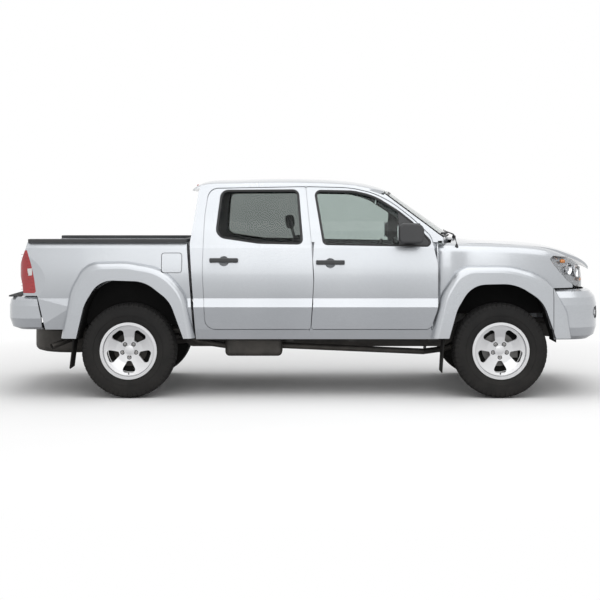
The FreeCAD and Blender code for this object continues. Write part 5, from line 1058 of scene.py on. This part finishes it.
# A pale reversing window set flush in the red lens, and fine ribs across the red
def makeTailLamps():
    heightAt = outerField("tail_lamps", (0, 1, 0), (1, 0, 0), (0, 0, 1), tailLamp["leastY"])[0]
    x, share = np.meshgrid(np.linspace(*tailLamp["windowX"], 14), np.linspace(0, 1, 10), indexing="ij")
    z = tailLamp["windowLow"] + tailLamp["windowHigh"] * share + tailLamp["tilt"] * (x - tailLamp["middleX"])
    face = np.stack([x, heightAt(x, z) + tailLamp["stands"], z], axis=-1)
    back = face - np.array([0, tailLamp["thick"], 0])
    pane = np.concatenate([face, back[:, ::-1]], axis=1)
    addBoth("tail_window", [(pane, "tube")], "milkLens", smoothAngle=smoothing["shell"])
    ribs = []
    for level in np.linspace(*tailLamp["ribLevels"]):
        if tailLamp["noRibs"][0] < level < tailLamp["noRibs"][1]:
            continue
        x = np.linspace(tailLamp["ribStart"], np.interp(level, *tailLamp["edge"]), 10)
        path = np.stack([x, heightAt(x, level) - tailLamp["ribSink"], np.full(10, level)], axis=-1)
        ribs.append(tube(path, tailLamp["ribRadius"], 6, (0, 1, 0)))
    addBoth("tail_ribs", ribs, "redLens")


makeHeadlamps()
makeFogLamps()
makeTailLamps()
print("stage: lamps")


# Bumpers, tailgate and grille details

# sections of bars are depth and height in mm
front = {
    "noseX": 2.556,
    "noseFall": 0.26,
    "nosePower": 2.2,
    "barLevels": (0.588, 0.706, 7),
    "barHalf": 0.480,
    "bar": (12, 6),
    "uprights": (-0.462, 0.462, 22),
    "upright": ((0.008, 0.005, 0.148), 0.002, 2, 3),
    "uprightBack": 0.004,
    "uprightZ": 0.6455,
    "backHalf": 0.600,
    "backDeep": 0.070,
    "backZ": 0.647,
    "back": (6, 184),
    "meshY": (-0.40, 0.40, 31),
    "meshBar": ((0.006, 0.004, 0.150), 0.0018, 2, 3),
    "meshX": 2.436,
    "meshFall": 0.10,
    "meshZ": 1.028,
    "hookY": 0.36,
    "hook": [(2.44, 0.52), (2.50, 0.535), (2.53, 0.515), (2.50, 0.492), (2.44, 0.50)],
    "hookRadius": 0.009,
}


# The bumper's face in plan falls back with a power of the distance from the middle
def bumperAt(y):
    return front["noseX"] - front["noseFall"] * np.abs(y) ** front["nosePower"]


# A level bar that follows the bumper in plan at a depth
def barAcross(halfWidth, deep, z, section):
    y = np.linspace(-halfWidth, halfWidth, 24)
    return carried(np.stack([bumperAt(y) - deep, y, np.full(24, z)], axis=-1), plank(*section), (0, 0, 1))


def makeFrontDetails():
    bars = [barAcross(front["barHalf"], 0, z, front["bar"]) for z in np.linspace(*front["barLevels"])]
    bars += [softBlock((bumperAt(y) - front["uprightBack"], y, front["uprightZ"]), *front["upright"])
             for y in np.linspace(*front["uprights"])]
    add("lower_mesh", bars, "blackPlastic")
    backing = barAcross(front["backHalf"], front["backDeep"], front["backZ"], front["back"])
    add("mouth_backing", [backing], "blackPlastic")
    mesh = [softBlock((front["meshX"] - front["meshFall"] * y ** 2, y, front["meshZ"]), *front["meshBar"])
            for y in np.linspace(*front["meshY"])]
    add("grille_mesh", mesh, "blackPlastic")
    hooks = []
    for side in sides.values():
        loop = smoothPath([(x, side * front["hookY"], z) for x, z in front["hook"]], 24)
        hooks.append(tube(loop, front["hookRadius"], 10, (0, 1, 0)))
    add("tow_hooks", hooks, "blackSteel")


rear = {
    "step": [((-2.512, 0.455, 0.8755), (0.110, 0.70, 0.014), 0.006, 2, 4),
             *(((-2.512, 0.17 + 0.052 * k, 0.883), (0.088, 0.012, 0.006), 0.0028, 2, 3) for k in range(12))],
    "handleBack": ((-2.4395, 0, 1.232), (0.018, 0.236, 0.094), 0.008, 0, 5),
    "pull": [(-2.447, -0.082, 1.236), (-2.461, -0.070, 1.238), (-2.463, 0, 1.239), (-2.461, 0.070, 1.238),
             (-2.447, 0.082, 1.236)],
    "pullSection": [(-6, -13), (0, -15), (5, -12), (6, 0), (5, 12), (0, 15), (-6, 13)],
    "lock": ([(8, -2), (8, 2), (6.5, 3), (2.4, 3), (2.2, 1.5), (0.2, 1.5)],
             (-2.4485, 0, 1.2035), "x", 24, -1),
    "plateFrame": boxCorners(0, 1.015, 0.157, 0.081, 0.01),
    "plateFrameX": -2.4475,
    "plateFrameRadius": 0.0045,
    "bedRibY": (-0.48, 0.48, 9),
    "bedRibX": (-2.345, -1.035, 16),
    "bedRibZ": 0.895,
    "bedRib": [(-26, -0.6), (-17, 6.5), (17, 6.5), (26, -0.6)],
    "tieX": (-2.22, -1.12),
    # along from the hook's middle, out from the middle plane, height
    "tieHook": [(-0.035, 0.722, 1.226), (-0.033, 0.694, 1.220), (0, 0.682, 1.214), (0.033, 0.694, 1.220),
                (0.035, 0.722, 1.226)],
    "tieRadius": 0.0055,
    "tiePlate": (0.7215, 1.226, (0.11, 0.006, 0.04), 0.0025, 1, 4),
    "fuelCap": ([(34, -14), (34, 4), (31, 8), (10, 9), (9, 16), (0.3, 17)],
                (-1.150, 0.846, 1.164), "y", 40, -1),
}
rearPlans = {
    "plate_blank": {
        "finish": "plateBlank", "body": "tailgate",
        "blocks": [((-2.452, 0, 1.015), (0.004, 0.305, 0.155), 0.0015, 0, 4)],
        "knobs": [([(5, 0), (5, 1.6), (3, 2.6), (0.2, 2.6)], (-2.4535, y, z), "x", 6, -1)
                  for y in (-0.125, 0.125) for z in (0.955, 1.075)],
    },
    "high_stop_lamp": {
        "finish": "redLens",
        "blocks": [((-0.9835, 0, 1.842), (0.016, 0.26, 0.020), 0.005, 0, 4)],
    },
}


def makeRearDetails():
    addPlans(rearPlans)
    add("bumper_step", bothSides(softBlocks(rear["step"])), "greyPlastic")
    grip = carried(smoothPath(rear["pull"], 30), rear["pullSection"], (0, 0, 1))
    handle = [softBlock(*rear["handleBack"]), grip, turned(*rear["lock"])]
    add("tailgate_handle", handle, "blackPlastic", "tailgate")
    edge = rodRound(rear["plateFrame"], 120, 5, rear["plateFrameX"], rear["plateFrameRadius"], 8)
    add("plate_frame", [edge], "blackPlastic", "tailgate")
    x = np.linspace(*rear["bedRibX"])
    ribs = [carried(np.stack([x, 0 * x + y, 0 * x + rear["bedRibZ"]], axis=-1), rear["bedRib"], (0, 0, 1))
            for y in np.linspace(*rear["bedRibY"])]
    add("bed_ribs", ribs, "bodyPaint")
    plateY, plateZ, *plate = rear["tiePlate"]
    hooks = []
    for side in sides.values():
        for x in rear["tieX"]:
            loop = smoothPath([(x + ahead, side * out, z) for ahead, out, z in rear["tieHook"]], 24)
            hooks.append(tube(loop, rear["tieRadius"], 10))
            hooks.append(softBlock((x, side * plateY, plateZ), *plate))
    add("tie_hooks", hooks, "blackSteel")
    add("fuel_cap", onSide([turned(*rear["fuelCap"])], -1), "blackPlastic")


makeFrontDetails()
makeRearDetails()
print("stage: bumpers and bed")


# Cab inside: padded seats, dashboard, trims

cushions = {
    "front_seat_base": {"centre": (0.365, 0.39, 0.795), "size": (0.53, 0.45, 0.128), "lean": 0.0,
                        "channels": (-0.135, 0.135)},
    "front_seat_back": {"centre": (0.012, 0.39, 1.085), "size": (0.115, 0.45, 0.64), "lean": -0.30,
                        "channels": (-0.14, 0.14)},
    "front_head_rest": {"centre": (-0.140, 0.39, 1.512), "size": (0.088, 0.225, 0.140), "lean": -0.12,
                        "channels": ()},
    "bench_base": {"centre": (-0.575, 0.0, 0.783), "size": (0.54, 1.25, 0.145), "lean": 0.0,
                   "channels": (-0.21, 0.21, -0.42, 0.42)},
    "bench_back": {"centre": (-0.835, 0.0, 1.075), "size": (0.110, 1.25, 0.55), "lean": -0.16,
                   "channels": (-0.21, 0.21, -0.42, 0.42)},
}
padding = {
    "steps": (26, 40),
    "poleGap": 0.001,
    "power": 0.34,
    "thinPower": 0.51,
    "drawnIn": (0.030, 0.025),
    "shrink": 0.010,
    "voxel": 0.010,
    "pressure": 4.0,
    "quality": 4,
    "frames": 16,
    "cap": 0.012,
    "channelDepth": 0.007,
    "channelWidth": 0.006,
    "channelReach": 0.46,
    "channelFade": 0.02,
    "seamAt": 0.30,
    "seamWidth": 0.004,
    "seamDepth": 0.006,
    "leastReach": 0.2,
    "fill": 0.6,
}


# Sine or cosine raised to a small power, keeping its sign
def bent(value, power):
    return np.sign(value) * np.abs(value) ** power


# A closed form between a block and an egg: an egg's sines and cosines raised to a small power, with the
# long sides drawn in a little between the corners
def crownedForm(size):
    rows, columns = padding["steps"]
    v = np.linspace(-pi / 2 + padding["poleGap"], pi / 2 - padding["poleGap"], rows)
    u = np.linspace(0, 2 * pi, columns, endpoint=False)
    thin = int(np.argmin(size))
    first, second = [k for k in range(3) if k != thin]
    ring = bent(np.cos(v), padding["power"])[:, None]
    a = ring * bent(np.cos(u), padding["power"])[None]
    b = ring * bent(np.sin(u), padding["power"])[None]
    grid = np.zeros((rows, columns, 3))
    grid[..., first] = a * (1 - padding["drawnIn"][0] * (1 - b ** 2)) * size[first] / 2
    grid[..., second] = b * (1 - padding["drawnIn"][1] * (1 - a ** 2)) * size[second] / 2
    grid[..., thin] = bent(np.sin(v), padding["thinPower"])[:, None] * size[thin] / 2
    return grid


def pointsOf(mesh):
    co = np.empty(len(mesh.vertices) * 3)
    mesh.vertices.foreach_get("co", co)
    return co.reshape(-1, 3)


def bakedMesh(piece):
    graph = bpy.context.evaluated_depsgraph_get()
    return bpy.data.meshes.new_from_object(piece.evaluated_get(graph))


# Cloth with inner pressure for a few frames, each point held within a cap of its start
def inflate(piece):
    scene = bpy.context.scene
    bpy.context.view_layer.objects.active = piece
    remesh = piece.modifiers.new("remesh", "REMESH")
    remesh.mode = "VOXEL"
    remesh.voxel_size = padding["voxel"]
    mesh = bakedMesh(piece)
    piece.modifiers.clear()
    piece.data = mesh
    start = pointsOf(mesh)
    cloth = piece.modifiers.new("cloth", "CLOTH")
    cloth.settings.use_pressure = True
    cloth.settings.uniform_pressure_force = padding["pressure"]
    cloth.settings.effector_weights.gravity = 0
    cloth.settings.quality = padding["quality"]
    cloth.collision_settings.use_collision = False
    cloth.collision_settings.use_self_collision = False
    for step in range(1, padding["frames"] + 1):
        scene.frame_set(step)
    swollen = bakedMesh(piece)
    move = pointsOf(swollen) - start
    far = np.linalg.norm(move, axis=1, keepdims=True)
    kept = start + move * np.minimum(1, padding["cap"] / np.maximum(far, 1e-9))
    piece.modifiers.clear()
    piece.data = swollen
    swollen.vertices.foreach_set("co", kept.reshape(-1))
    scene.frame_set(1)


# Sewn channels are narrow dents along a line on the faces that are sat on; a seam runs round the edge
def makeCushion(name, centre, plan):
    size = np.array(plan["size"])
    formed = size - 2 * padding["shrink"]
    form = (crownedForm(formed), "tube")
    cloth = finishes["seatCloth"]
    piece = makePiece(name, [form], cloth, "chassis", smoothing["all"], True)
    inflate(piece)
    mesh = piece.data
    co = pointsOf(mesh)
    thin = int(np.argmin(size))
    upright = 2 if thin == 0 else 0
    for across in plan["channels"]:
        dent = np.exp(-((co[:, 1] - across) / padding["channelWidth"]) ** 2) * padding["channelDepth"]
        inner = (size[upright] * padding["channelReach"] - np.abs(co[:, upright])) / padding["channelFade"]
        co[:, thin] -= np.sign(co[:, thin]) * dent * np.clip(inner, 0, 1)
    seam = np.exp(-((co[:, thin] - padding["seamAt"] * size[thin]) / padding["seamWidth"]) ** 2)
    reach = np.maximum(np.linalg.norm(co / size, axis=1), padding["leastReach"])
    co *= 1 - (seam * padding["seamDepth"] / reach / size.max())[:, None]
    co = np.clip(co, -size / 2, size / 2)
    if thin == 0:
        co[:, 0] += plan["lean"] * co[:, 2]
    mesh.vertices.foreach_set("co", (co + centre).reshape(-1))
    mesh.update()
    mesh.shade_smooth()
    mesh.materials.clear()
    mesh.materials.append(cloth)
    fine = piece.modifiers.new("finer", "SUBSURF")
    fine.levels = fine.render_levels = 1
    return piece


seatFeet = {
    "seatY": 0.39,
    "postShifts": (-0.055, 0.055),
    "postFoot": (-0.128, 1.465),
    "postHead": (-0.098, 1.36),
    "postRadius": 0.006,
    # rails, feet, pan and side lever of the left seat, and a box under half the bench
    "blocks": [
        *(((0.33, y, 0.557), (0.44, 0.042, 0.020), 0.006, 0, 3) for y in (0.225, 0.555)),
        *(((x, y, 0.64), (0.05, 0.020, 0.17), 0.006, 2, 3) for y in (0.225, 0.555) for x in (0.16, 0.50)),
        ((0.335, 0.39, 0.726), (0.46, 0.37, 0.016), 0.006, 2, 3),
        ((0.05, 0.622, 0.80), (0.16, 0.018, 0.11), 0.009, 1, 4),
        ((-0.58, 0.30, 0.63), (0.44, 0.50, 0.15), 0.02, 2, 4),
    ],
}


def makeSeats():
    pieces = []
    for name, plan in cushions.items():
        spots = {"": plan["centre"]}
        if plan["centre"][1]:
            spots = {"_left": plan["centre"], "_right": flipped(plan["centre"])}
        pieces += [makeCushion(name + ending, centre, plan) for ending, centre in spots.items()]
    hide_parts("seats")
    (footX, footZ), (headX, headZ) = seatFeet["postFoot"], seatFeet["postHead"]
    posts = []
    for side in sides.values():
        for shift in seatFeet["postShifts"]:
            y = side * seatFeet["seatY"] + shift
            post = np.linspace((footX, y, footZ), (headX, y, headZ), 8)
            posts.append(tube(post, seatFeet["postRadius"], 12))
    add("head_rest_posts", posts, "bareSteel")
    add("seat_runners", bothSides(softBlocks(seatFeet["blocks"])), "blackPlastic")


makeSeats()
print("stage: seats")


dash = {
    "way": (-1, 0, 0.05),
    "hood": [(0.92, 0.215, 1.275), (0.905, 0.225, 1.325), (0.902, 0.375, 1.352), (0.905, 0.525, 1.325),
             (0.92, 0.535, 1.275)],
    "hoodSection": (10, 120),
    "cluster": ((0.925, 0.375, 1.285), (0.05, 0.30, 0.115), 0.015, 0, 4),
    # a place here is how far ahead of the dashboard's face, y, z
    "console": ((0.004, 0, 1.065), (0.050, 0.260, 0.250), 0.012, 0, 4),
    "consoleFace": (0.0, 1.08),
    "glovebox": ((-0.001, -0.40, 0.985), (0.016, 0.40, 0.155), 0.007, 0, 4),
    "gloveboxFace": (-0.40, 0.99),
    "display": ((-0.020, 0, 1.100), (0.016, 0.185, 0.062), 0.006, 0, 4),
    "knob": [(19, 0), (19, 6), (16, 8), (15, 20), (12, 23), (0.3, 23)],
    "knobPlaces": [(-0.020, y, 0.985) for y in (-0.075, 0.0, 0.075)],
    "button": ((0.010, 0.024, 0.012), 0.004, 0, 3),
    "buttonPlaces": [(-0.030, y, 1.052) for y in np.linspace(-0.078, 0.078, 6)],
    # y, z, width, height
    "vents": [(0.07, 1.222, 0.105, 0.052), (-0.07, 1.222, 0.105, 0.052), (0.66, 1.205, 0.11, 0.07),
              (-0.66, 1.205, 0.11, 0.07)],
    "ventStands": 0.004,
    "ventRimStands": 0.007,
    "ventRim": 0.0045,
    "ventCorner": 0.012,
    "slat": (0.010, 0.0035),
    "slatEdge": (0.0015, 0, 3),
    "slats": (-2, -1, 0, 1, 2),  # in sixths of the vent's height
    "dialX": 0.897,
    "dialZ": 1.288,
    "dialY": (0.30, 0.45),
    "dial": [(48, 0), (48, 6), (44.64, 8), (43.2, 3), (4, 3), (4, 8), (0.4, 8)],
}


def makeDashboard():
    heightAt = outerField("dashboard", dash["way"], (0, 1, 0), (0, 0, 1))[0]
    rise = dash["way"][2]

    def faceX(y, z):
        return -(float(heightAt(y, z)) * math.hypot(1, rise) - rise * z)

    def onFace(x, row):
        (ahead, y, z), *rest = row
        return softBlock((x + ahead, y, z), *rest)
    consoleX = faceX(*dash["consoleFace"])
    parts = [carried(smoothPath(dash["hood"], 40), plank(*dash["hoodSection"]), (1, 0, 0)),
             softBlock(*dash["cluster"]), onFace(consoleX, dash["console"]),
             onFace(faceX(*dash["gloveboxFace"]), dash["glovebox"])]
    add("dash_mouldings", parts, "greyPlastic")
    controls = [onFace(consoleX, dash["display"])]
    controls += [onFace(consoleX, (place, *dash["button"])) for place in dash["buttonPlaces"]]
    controls += [turned(dash["knob"], (consoleX + ahead, y, z), "x", 28, -1)
                 for ahead, y, z in dash["knobPlaces"]]
    deep, thick = dash["slat"]
    for y, z, wide, high in dash["vents"]:
        face = faceX(y, z)
        slats = [(face - dash["ventStands"], y, z + k * high / 6) for k in dash["slats"]]
        controls += [softBlock(spot, (deep, wide, thick), *dash["slatEdge"]) for spot in slats]
        corners = boxCorners(y, z, wide / 2, high / 2, dash["ventCorner"])
        controls.append(rodRound(corners, 60, 5, face - dash["ventRimStands"], dash["ventRim"], 8))
    add("dash_controls", controls, "blackPlastic")
    dials = [turnedAlong(np.array(dash["dial"]) * mm, (dash["dialX"], y, dash["dialZ"]), dash["way"], 40)
             for y in dash["dialY"]]
    add("dash_dials", dials, "lampBezel")


gear = {
    "lever": [(0.50, 0, 0.79), (0.475, 0, 0.87), (0.462, 0, 0.93)],
    "radius": 0.0075,
    "knob": [(9, -4), (20, 4), (24, 18), (22, 34), (14, 44), (0.3, 47)],
    "knobAt": ((0.462, 0, 0.925), (-0.2, 0, 1)),
    "boot": [(58, 0), (52, 12), (40, 16), (34, 34), (20, 42), (11, 66), (8, 68)],
    "bootAt": ((0.505, 0, 0.795), (-0.25, 0, 1)),
}


def makeGearLever():
    parts = [tube(smoothPath(gear["lever"], 16), gear["radius"], 12, (1, 0, 0)),
             turnedAlong(np.array(gear["knob"]) * mm, *gear["knobAt"], 28),
             turnedAlong(np.array(gear["boot"]) * mm, *gear["bootAt"], 28, "hose")]
    add("gear_lever", parts, "blackPlastic")


cabPlans = {
    "pedals": {
        "finish": "blackSteel",
        "blocks": [((0.955, y, 0.70), (0.016, wide, 0.09), 0.007, 0, 4)
                   for y, wide in ((0.30, 0.05), (0.42, 0.09))],
        "rods": [([(0.962, y, 0.72), (1.01, y, 0.80), (1.045, y, 0.93)], 14, 0.008, 10)
                 for y in (0.30, 0.42)],
    },
    "inside_mirror": {
        "finish": "blackPlastic",
        "blocks": [((0.662, 0, 1.698), (0.022, 0.235, 0.066), 0.010, 0, 5)],
        "rods": [([(0.670, 0, 1.715), (0.695, 0, 1.748), (0.728, 0, 1.776)], 14, 0.008, 10)],
    },
    "inside_mirror_glass": {
        "finish": "mirrorGlass",
        "blocks": [((0.6505, 0, 1.698), (0.003, 0.219, 0.052), 0.0012, 0, 4)],
    },
    "sun_visors": {
        "finish": "headCloth",
        "blocks": [((0.575, side * 0.30, 1.765), (0.15, 0.38, 0.018), 0.008, 2, 4) for side in (1, -1)],
    },
}

handWheel = {
    "way": np.array([-0.8875, 0, 0.4608]),
    "centre": np.array([0.640, 0.375, 1.165]),
    "pad": ((0, 0, 0), (0.036, 0.150, 0.125), 0.016, 0, 6),
    "padStands": 0.020,
    "padDrop": 0.01,
    "ringRadius": 0.185,
    "gripRadius": 0.0146,
    "gripSwell": 0.0012,
    "swells": 36,
}


# The padded boss in the middle of the hand wheel; the grip's radius swells with a cosine round the ring
def makeWheelPad():
    way = handWheel["way"]
    centre = handWheel["centre"]
    across = np.array([0.0, 1.0, 0.0])
    up = np.cross(way, across)
    up *= np.sign(up[2])
    pad = softBlock(*handWheel["pad"])[0]
    pad = (centre + way * handWheel["padStands"] + pad[..., :1] * way + pad[..., 1:2] * across
           + (pad[..., 2:] - handWheel["padDrop"]) * up)
    turn = np.linspace(0, 2 * pi, 120, endpoint=False)
    ring = centre + handWheel["ringRadius"] * (np.cos(turn)[:, None] * across + np.sin(turn)[:, None] * up)
    grip = handWheel["gripRadius"] + handWheel["gripSwell"] * np.cos(turn * handWheel["swells"])
    add("wheel_pad", [(pad, "tube")], "trimGrey", "steering_wheel")
    add("wheel_grip", [tube(ring, grip, 18, way, "loop")], "blackPlastic", "steering_wheel")


doorTrim = {
    "low": 0.645,
    "high": 1.262,
    "depth": 0.0925,
    "thick": 0.012,
    # share of the way out from the middle, share of the thickness
    "skin": ((1.0, 0.0), (1.0, 0.7), (0.975, 1.0), (0.6, 1.0), (0.2, 1.0), (0.02, 1.0)),
    "front": {"x": (0.135, 0.985), "rest": (0.26, 0.78), "cut": 0.13, "speakerX": 0.815, "latchX": 0.81},
    "rear": {"x": (-0.800, -0.055), "rest": (-0.62, -0.16), "cut": 0.02, "speakerX": -0.60, "latchX": -0.14},
    "shoulder": 0.09,
    "cornerRadii": (0.04, 0.05, 0.09, 0.05, 0.03),
    "restEdge": (0.024, 0, 6),
    "restZ": 0.935,
    "restOut": 0.022,
    "restSize": (0.060, 0.065),
    "restLevel": 0.93,
    # ahead of the armrest's front end, out from the face, height
    "pull": [(-0.16, 0.004, 1.035), (-0.155, -0.030, 1.030), (-0.05, -0.034, 1.045), (-0.01, 0.004, 1.05)],
    "pullRadius": 0.010,
    "speaker": [(78, 0), (78, -5), (72, -7), (66, -4), (40, -6), (0.4, -6.5)],
    "speakerSink": 0.001,
    "speakerZ": 0.755,
    "speakerLevel": 0.75,
    "latchOut": 0.006,
    "latchZ": 1.115,
    "latchLevel": 1.10,
    "latch": ((0.085, 0.012, 0.045), 0.005, 1, 4),
}


# y of the trim's face at a height
def trimFace(z):
    return sideY(z) - doorTrim["depth"] - doorTrim["thick"]


# An inner skin that follows the door's own side at a depth, with an armrest, pull and speaker
def makeDoorTrims():
    low, high = doorTrim["low"], doorTrim["high"]
    wide, tall = doorTrim["restSize"]
    for end in ends:
        door = doorTrim[end]
        (x0, x1), (r0, r1) = door["x"], door["rest"]
        spots = [(x0, low), (x1, low), (x1, high - doorTrim["shoulder"]), (x1 - door["cut"], high),
                 (x0, high)]
        corners = [(*spot, radius) for spot, radius in zip(spots, doorTrim["cornerRadii"])]
        edge = evenly(roundedOutline(corners, 6), 120)
        middle = np.array([(x0 + x1) / 2, (low + high) / 2])
        rings = []
        for share, depth in doorTrim["skin"]:
            line = middle + (edge - middle) * share
            y = sideY(line[:, 1]) - doorTrim["depth"] - doorTrim["thick"] * depth
            rings.append(np.stack([line[:, 0], y, line[:, 1]], axis=-1))
        face = trimFace(doorTrim["restLevel"])
        spot = ((r0 + r1) / 2, face - doorTrim["restOut"], doorTrim["restZ"])
        rest = softBlock(spot, (r1 - r0, wide, tall), *doorTrim["restEdge"])
        pull = smoothPath([(r1 + x, face + y, z) for x, y, z in doorTrim["pull"]], 24)
        speakerY = trimFace(doorTrim["speakerLevel"]) + doorTrim["speakerSink"]
        speaker = turned(doorTrim["speaker"], (door["speakerX"], speakerY, doorTrim["speakerZ"]), "y", 48)
        latchY = trimFace(doorTrim["latchLevel"]) - doorTrim["latchOut"]
        latch = softBlock((door["latchX"], latchY, doorTrim["latchZ"]), *doorTrim["latch"])
        body = f"door_{end}"
        addBoth(f"door_trim_{end}", [(np.array(rings), "tube")], "trimGrey", body, smoothing["soft"])
        addBoth(f"door_speaker_{end}", [speaker, latch], "blackPlastic", body)
        for side, sign in sides.items():
            handle = tube(pull, doorTrim["pullRadius"], 12)
            add(f"door_rest_{end}_{side}", onSide([rest, handle], sign), "greyPlastic", f"{body}_{side}")


makeDashboard()
makeGearLever()
addPlans(cabPlans)
makeWheelPad()
makeDoorTrims()
print("stage: cab inside")


# Under the hood

enginePlans = {
    "engine_cover": {
        "finish": "greyPlastic",
        "blocks": [
            ((1.36, 0, 1.112), (0.50, 0.36, 0.040), 0.018, 2, 5),
            *(((1.36, y, 1.134), (0.42, 0.016, 0.010), 0.004, 2, 3) for y in np.linspace(-0.13, 0.13, 7)),
        ],
    },
    "battery_and_box": {
        "finish": "blackPlastic",
        "blocks": [((1.93, 0.37, 0.985), (0.24, 0.175, 0.17), 0.008, 2, 4),
                   ((1.92, -0.36, 0.99), (0.27, 0.19, 0.17), 0.02, 2, 5)],
        "knobs": [([(9, 0), (9, 14), (7, 16), (0.2, 16)], (x, 0.425, 1.068), "z", 16) for x in (1.85, 2.01)],
        # the air hose has folds
        "rods": [([(1.80, -0.34, 1.03), (1.70, -0.28, 1.07), (1.62, -0.16, 1.09), (1.56, -0.08, 1.10)], 40,
                  0.034 + 0.0022 * np.cos(np.linspace(0, 26 * pi, 40)), 24)],
    },
    "washer_bottle": {
        "finish": "milkLens",
        "blocks": [((1.42, 0.40, 0.99), (0.15, 0.11, 0.16), 0.02, 2, 5)],
        "knobs": [([(24, 0), (24, 16), (21, 20), (0.2, 20)], (1.42, 0.40, 1.068), "z", 28)],
    },
    "coolant_hoses": {
        "finish": "sealRubberAndShade",
        "rods": [
            ([(2.12, 0.20, 1.05), (2.02, 0.19, 1.10), (1.85, 0.12, 1.12), (1.66, 0.10, 1.115)],
             36, 0.019, 16),
            ([(2.12, -0.18, 0.80), (2.02, -0.20, 0.78), (1.95, -0.26, 0.86), (1.80, -0.265, 0.94)],
             36, 0.019, 16),
        ],
    },
}
addPlans(enginePlans)
print("stage: under the hood")


# Stage: floor, light and camera

shot = {
    "place": (0.025, -12.3, 1.636),
    "lens": 79.65,
    "sensor": 36,
    "shift": (-0.0133, -0.1533),
    "farthest": 200,
    "lampLight": 0.62,
    "floorSize": 120.0,
    "floorFade": (2.6, 5.5),
    "floorNoise": (0.6, 3.0),
    "floorSeen": ((0.90, 0.90, 0.90, 1), (0.92, 0.92, 0.92, 1)),
    "floorLit": (0.50, 0.50, 0.51, 1),
    "floorRoughness": 0.9,
    # name, place, turn, size, power
    "lamps": [("topLamp", (0.9, -1.5, 7.0), (0.20, 0, 0), 9.0, 310),
              ("sideLamp", (0.1, -9.0, 4.6), (1.12, 0, 0.0), 7.0, 180)],
}


# One for rays from the camera, from gloss and through glass, nought for those that light the truck,
# with the node that tells them
def seenRays(tree):
    path = tree.nodes.new("ShaderNodeLightPath")
    seen = calc(tree, "MAXIMUM", path.outputs["Is Camera Ray"], path.outputs["Is Glossy Ray"])
    return path, calc(tree, "MAXIMUM", seen, path.outputs["Is Transmission Ray"])


def place(name, data):
    thing = bpy.data.objects.new(name, data)
    bpy.context.scene.collection.objects.link(thing)
    return thing


def makeWorld():
    world = bpy.data.worlds.new("studio")
    bpy.context.scene.world = world
    world.use_nodes = True
    tree = world.node_tree
    background = tree.nodes["Background"]
    background.inputs["Color"].default_value = (1, 1, 1, 1)
    seen = seenRays(tree)[1]
    tree.links.new(stretchRange(tree, seen, shot["lampLight"], 1.0, 0.0, 1.0), background.inputs["Strength"])


# Beyond a ring round the truck the floor is plain white, so no horizon shows
def makeFloor():
    half = shot["floorSize"] / 2
    mesh = bpy.data.meshes.new("floor")
    corners = [(-half, -half, 0), (half, -half, 0), (half, half, 0), (-half, half, 0)]
    mesh.from_pydata(corners, [], [(0, 1, 2, 3)])
    material = bpy.data.materials.new("paleFloor")
    material.use_nodes = True
    tree = material.node_tree
    shader = tree.nodes["Principled BSDF"]
    tone = stretchRange(tree, noiseOf(tree, *shot["floorNoise"]), 0.0, 1.0)
    path, seen = seenRays(tree)
    seenTone = blendColours(tree, tone, *shot["floorSeen"])
    tree.links.new(blendColours(tree, path.outputs["Is Camera Ray"], shot["floorLit"], seenTone),
                   shader.inputs["Base Color"])
    shader.inputs["Roughness"].default_value = shot["floorRoughness"]
    length = tree.nodes.new("ShaderNodeVectorMath")
    length.operation = "LENGTH"
    tree.links.new(placeOf(tree), length.inputs[0])
    far = stretchRange(tree, length.outputs["Value"], 0.0, 1.0, *shot["floorFade"])
    white = tree.nodes.new("ShaderNodeEmission")
    mixed = tree.nodes.new("ShaderNodeMixShader")
    tree.links.new(calc(tree, "MULTIPLY", far, seen, True), mixed.inputs[0])
    tree.links.new(shader.outputs[0], mixed.inputs[1])
    tree.links.new(white.outputs[0], mixed.inputs[2])
    tree.links.new(mixed.outputs[0], tree.nodes["Material Output"].inputs["Surface"])
    mesh.materials.append(material)
    place("floor", mesh)


def makeLampsAndCamera():
    for name, spot, turn, size, power in shot["lamps"]:
        data = bpy.data.lights.new(name, "AREA")
        data.size = size
        data.energy = power
        light = place(name, data)
        light.location = spot
        light.rotation_euler = turn
    data = bpy.data.cameras.new("photoCamera")
    data.lens = shot["lens"]
    data.sensor_width = shot["sensor"]
    data.shift_x, data.shift_y = shot["shift"]
    data.clip_end = shot["farthest"]
    camera = place("photoCamera", data)
    camera.location = shot["place"]
    camera.rotation_euler = (pi / 2, 0, 0)
    bpy.context.scene.camera = camera


bpy.context.scene.view_settings.view_transform = "Standard"
makeWorld()
makeFloor()
makeLampsAndCamera()
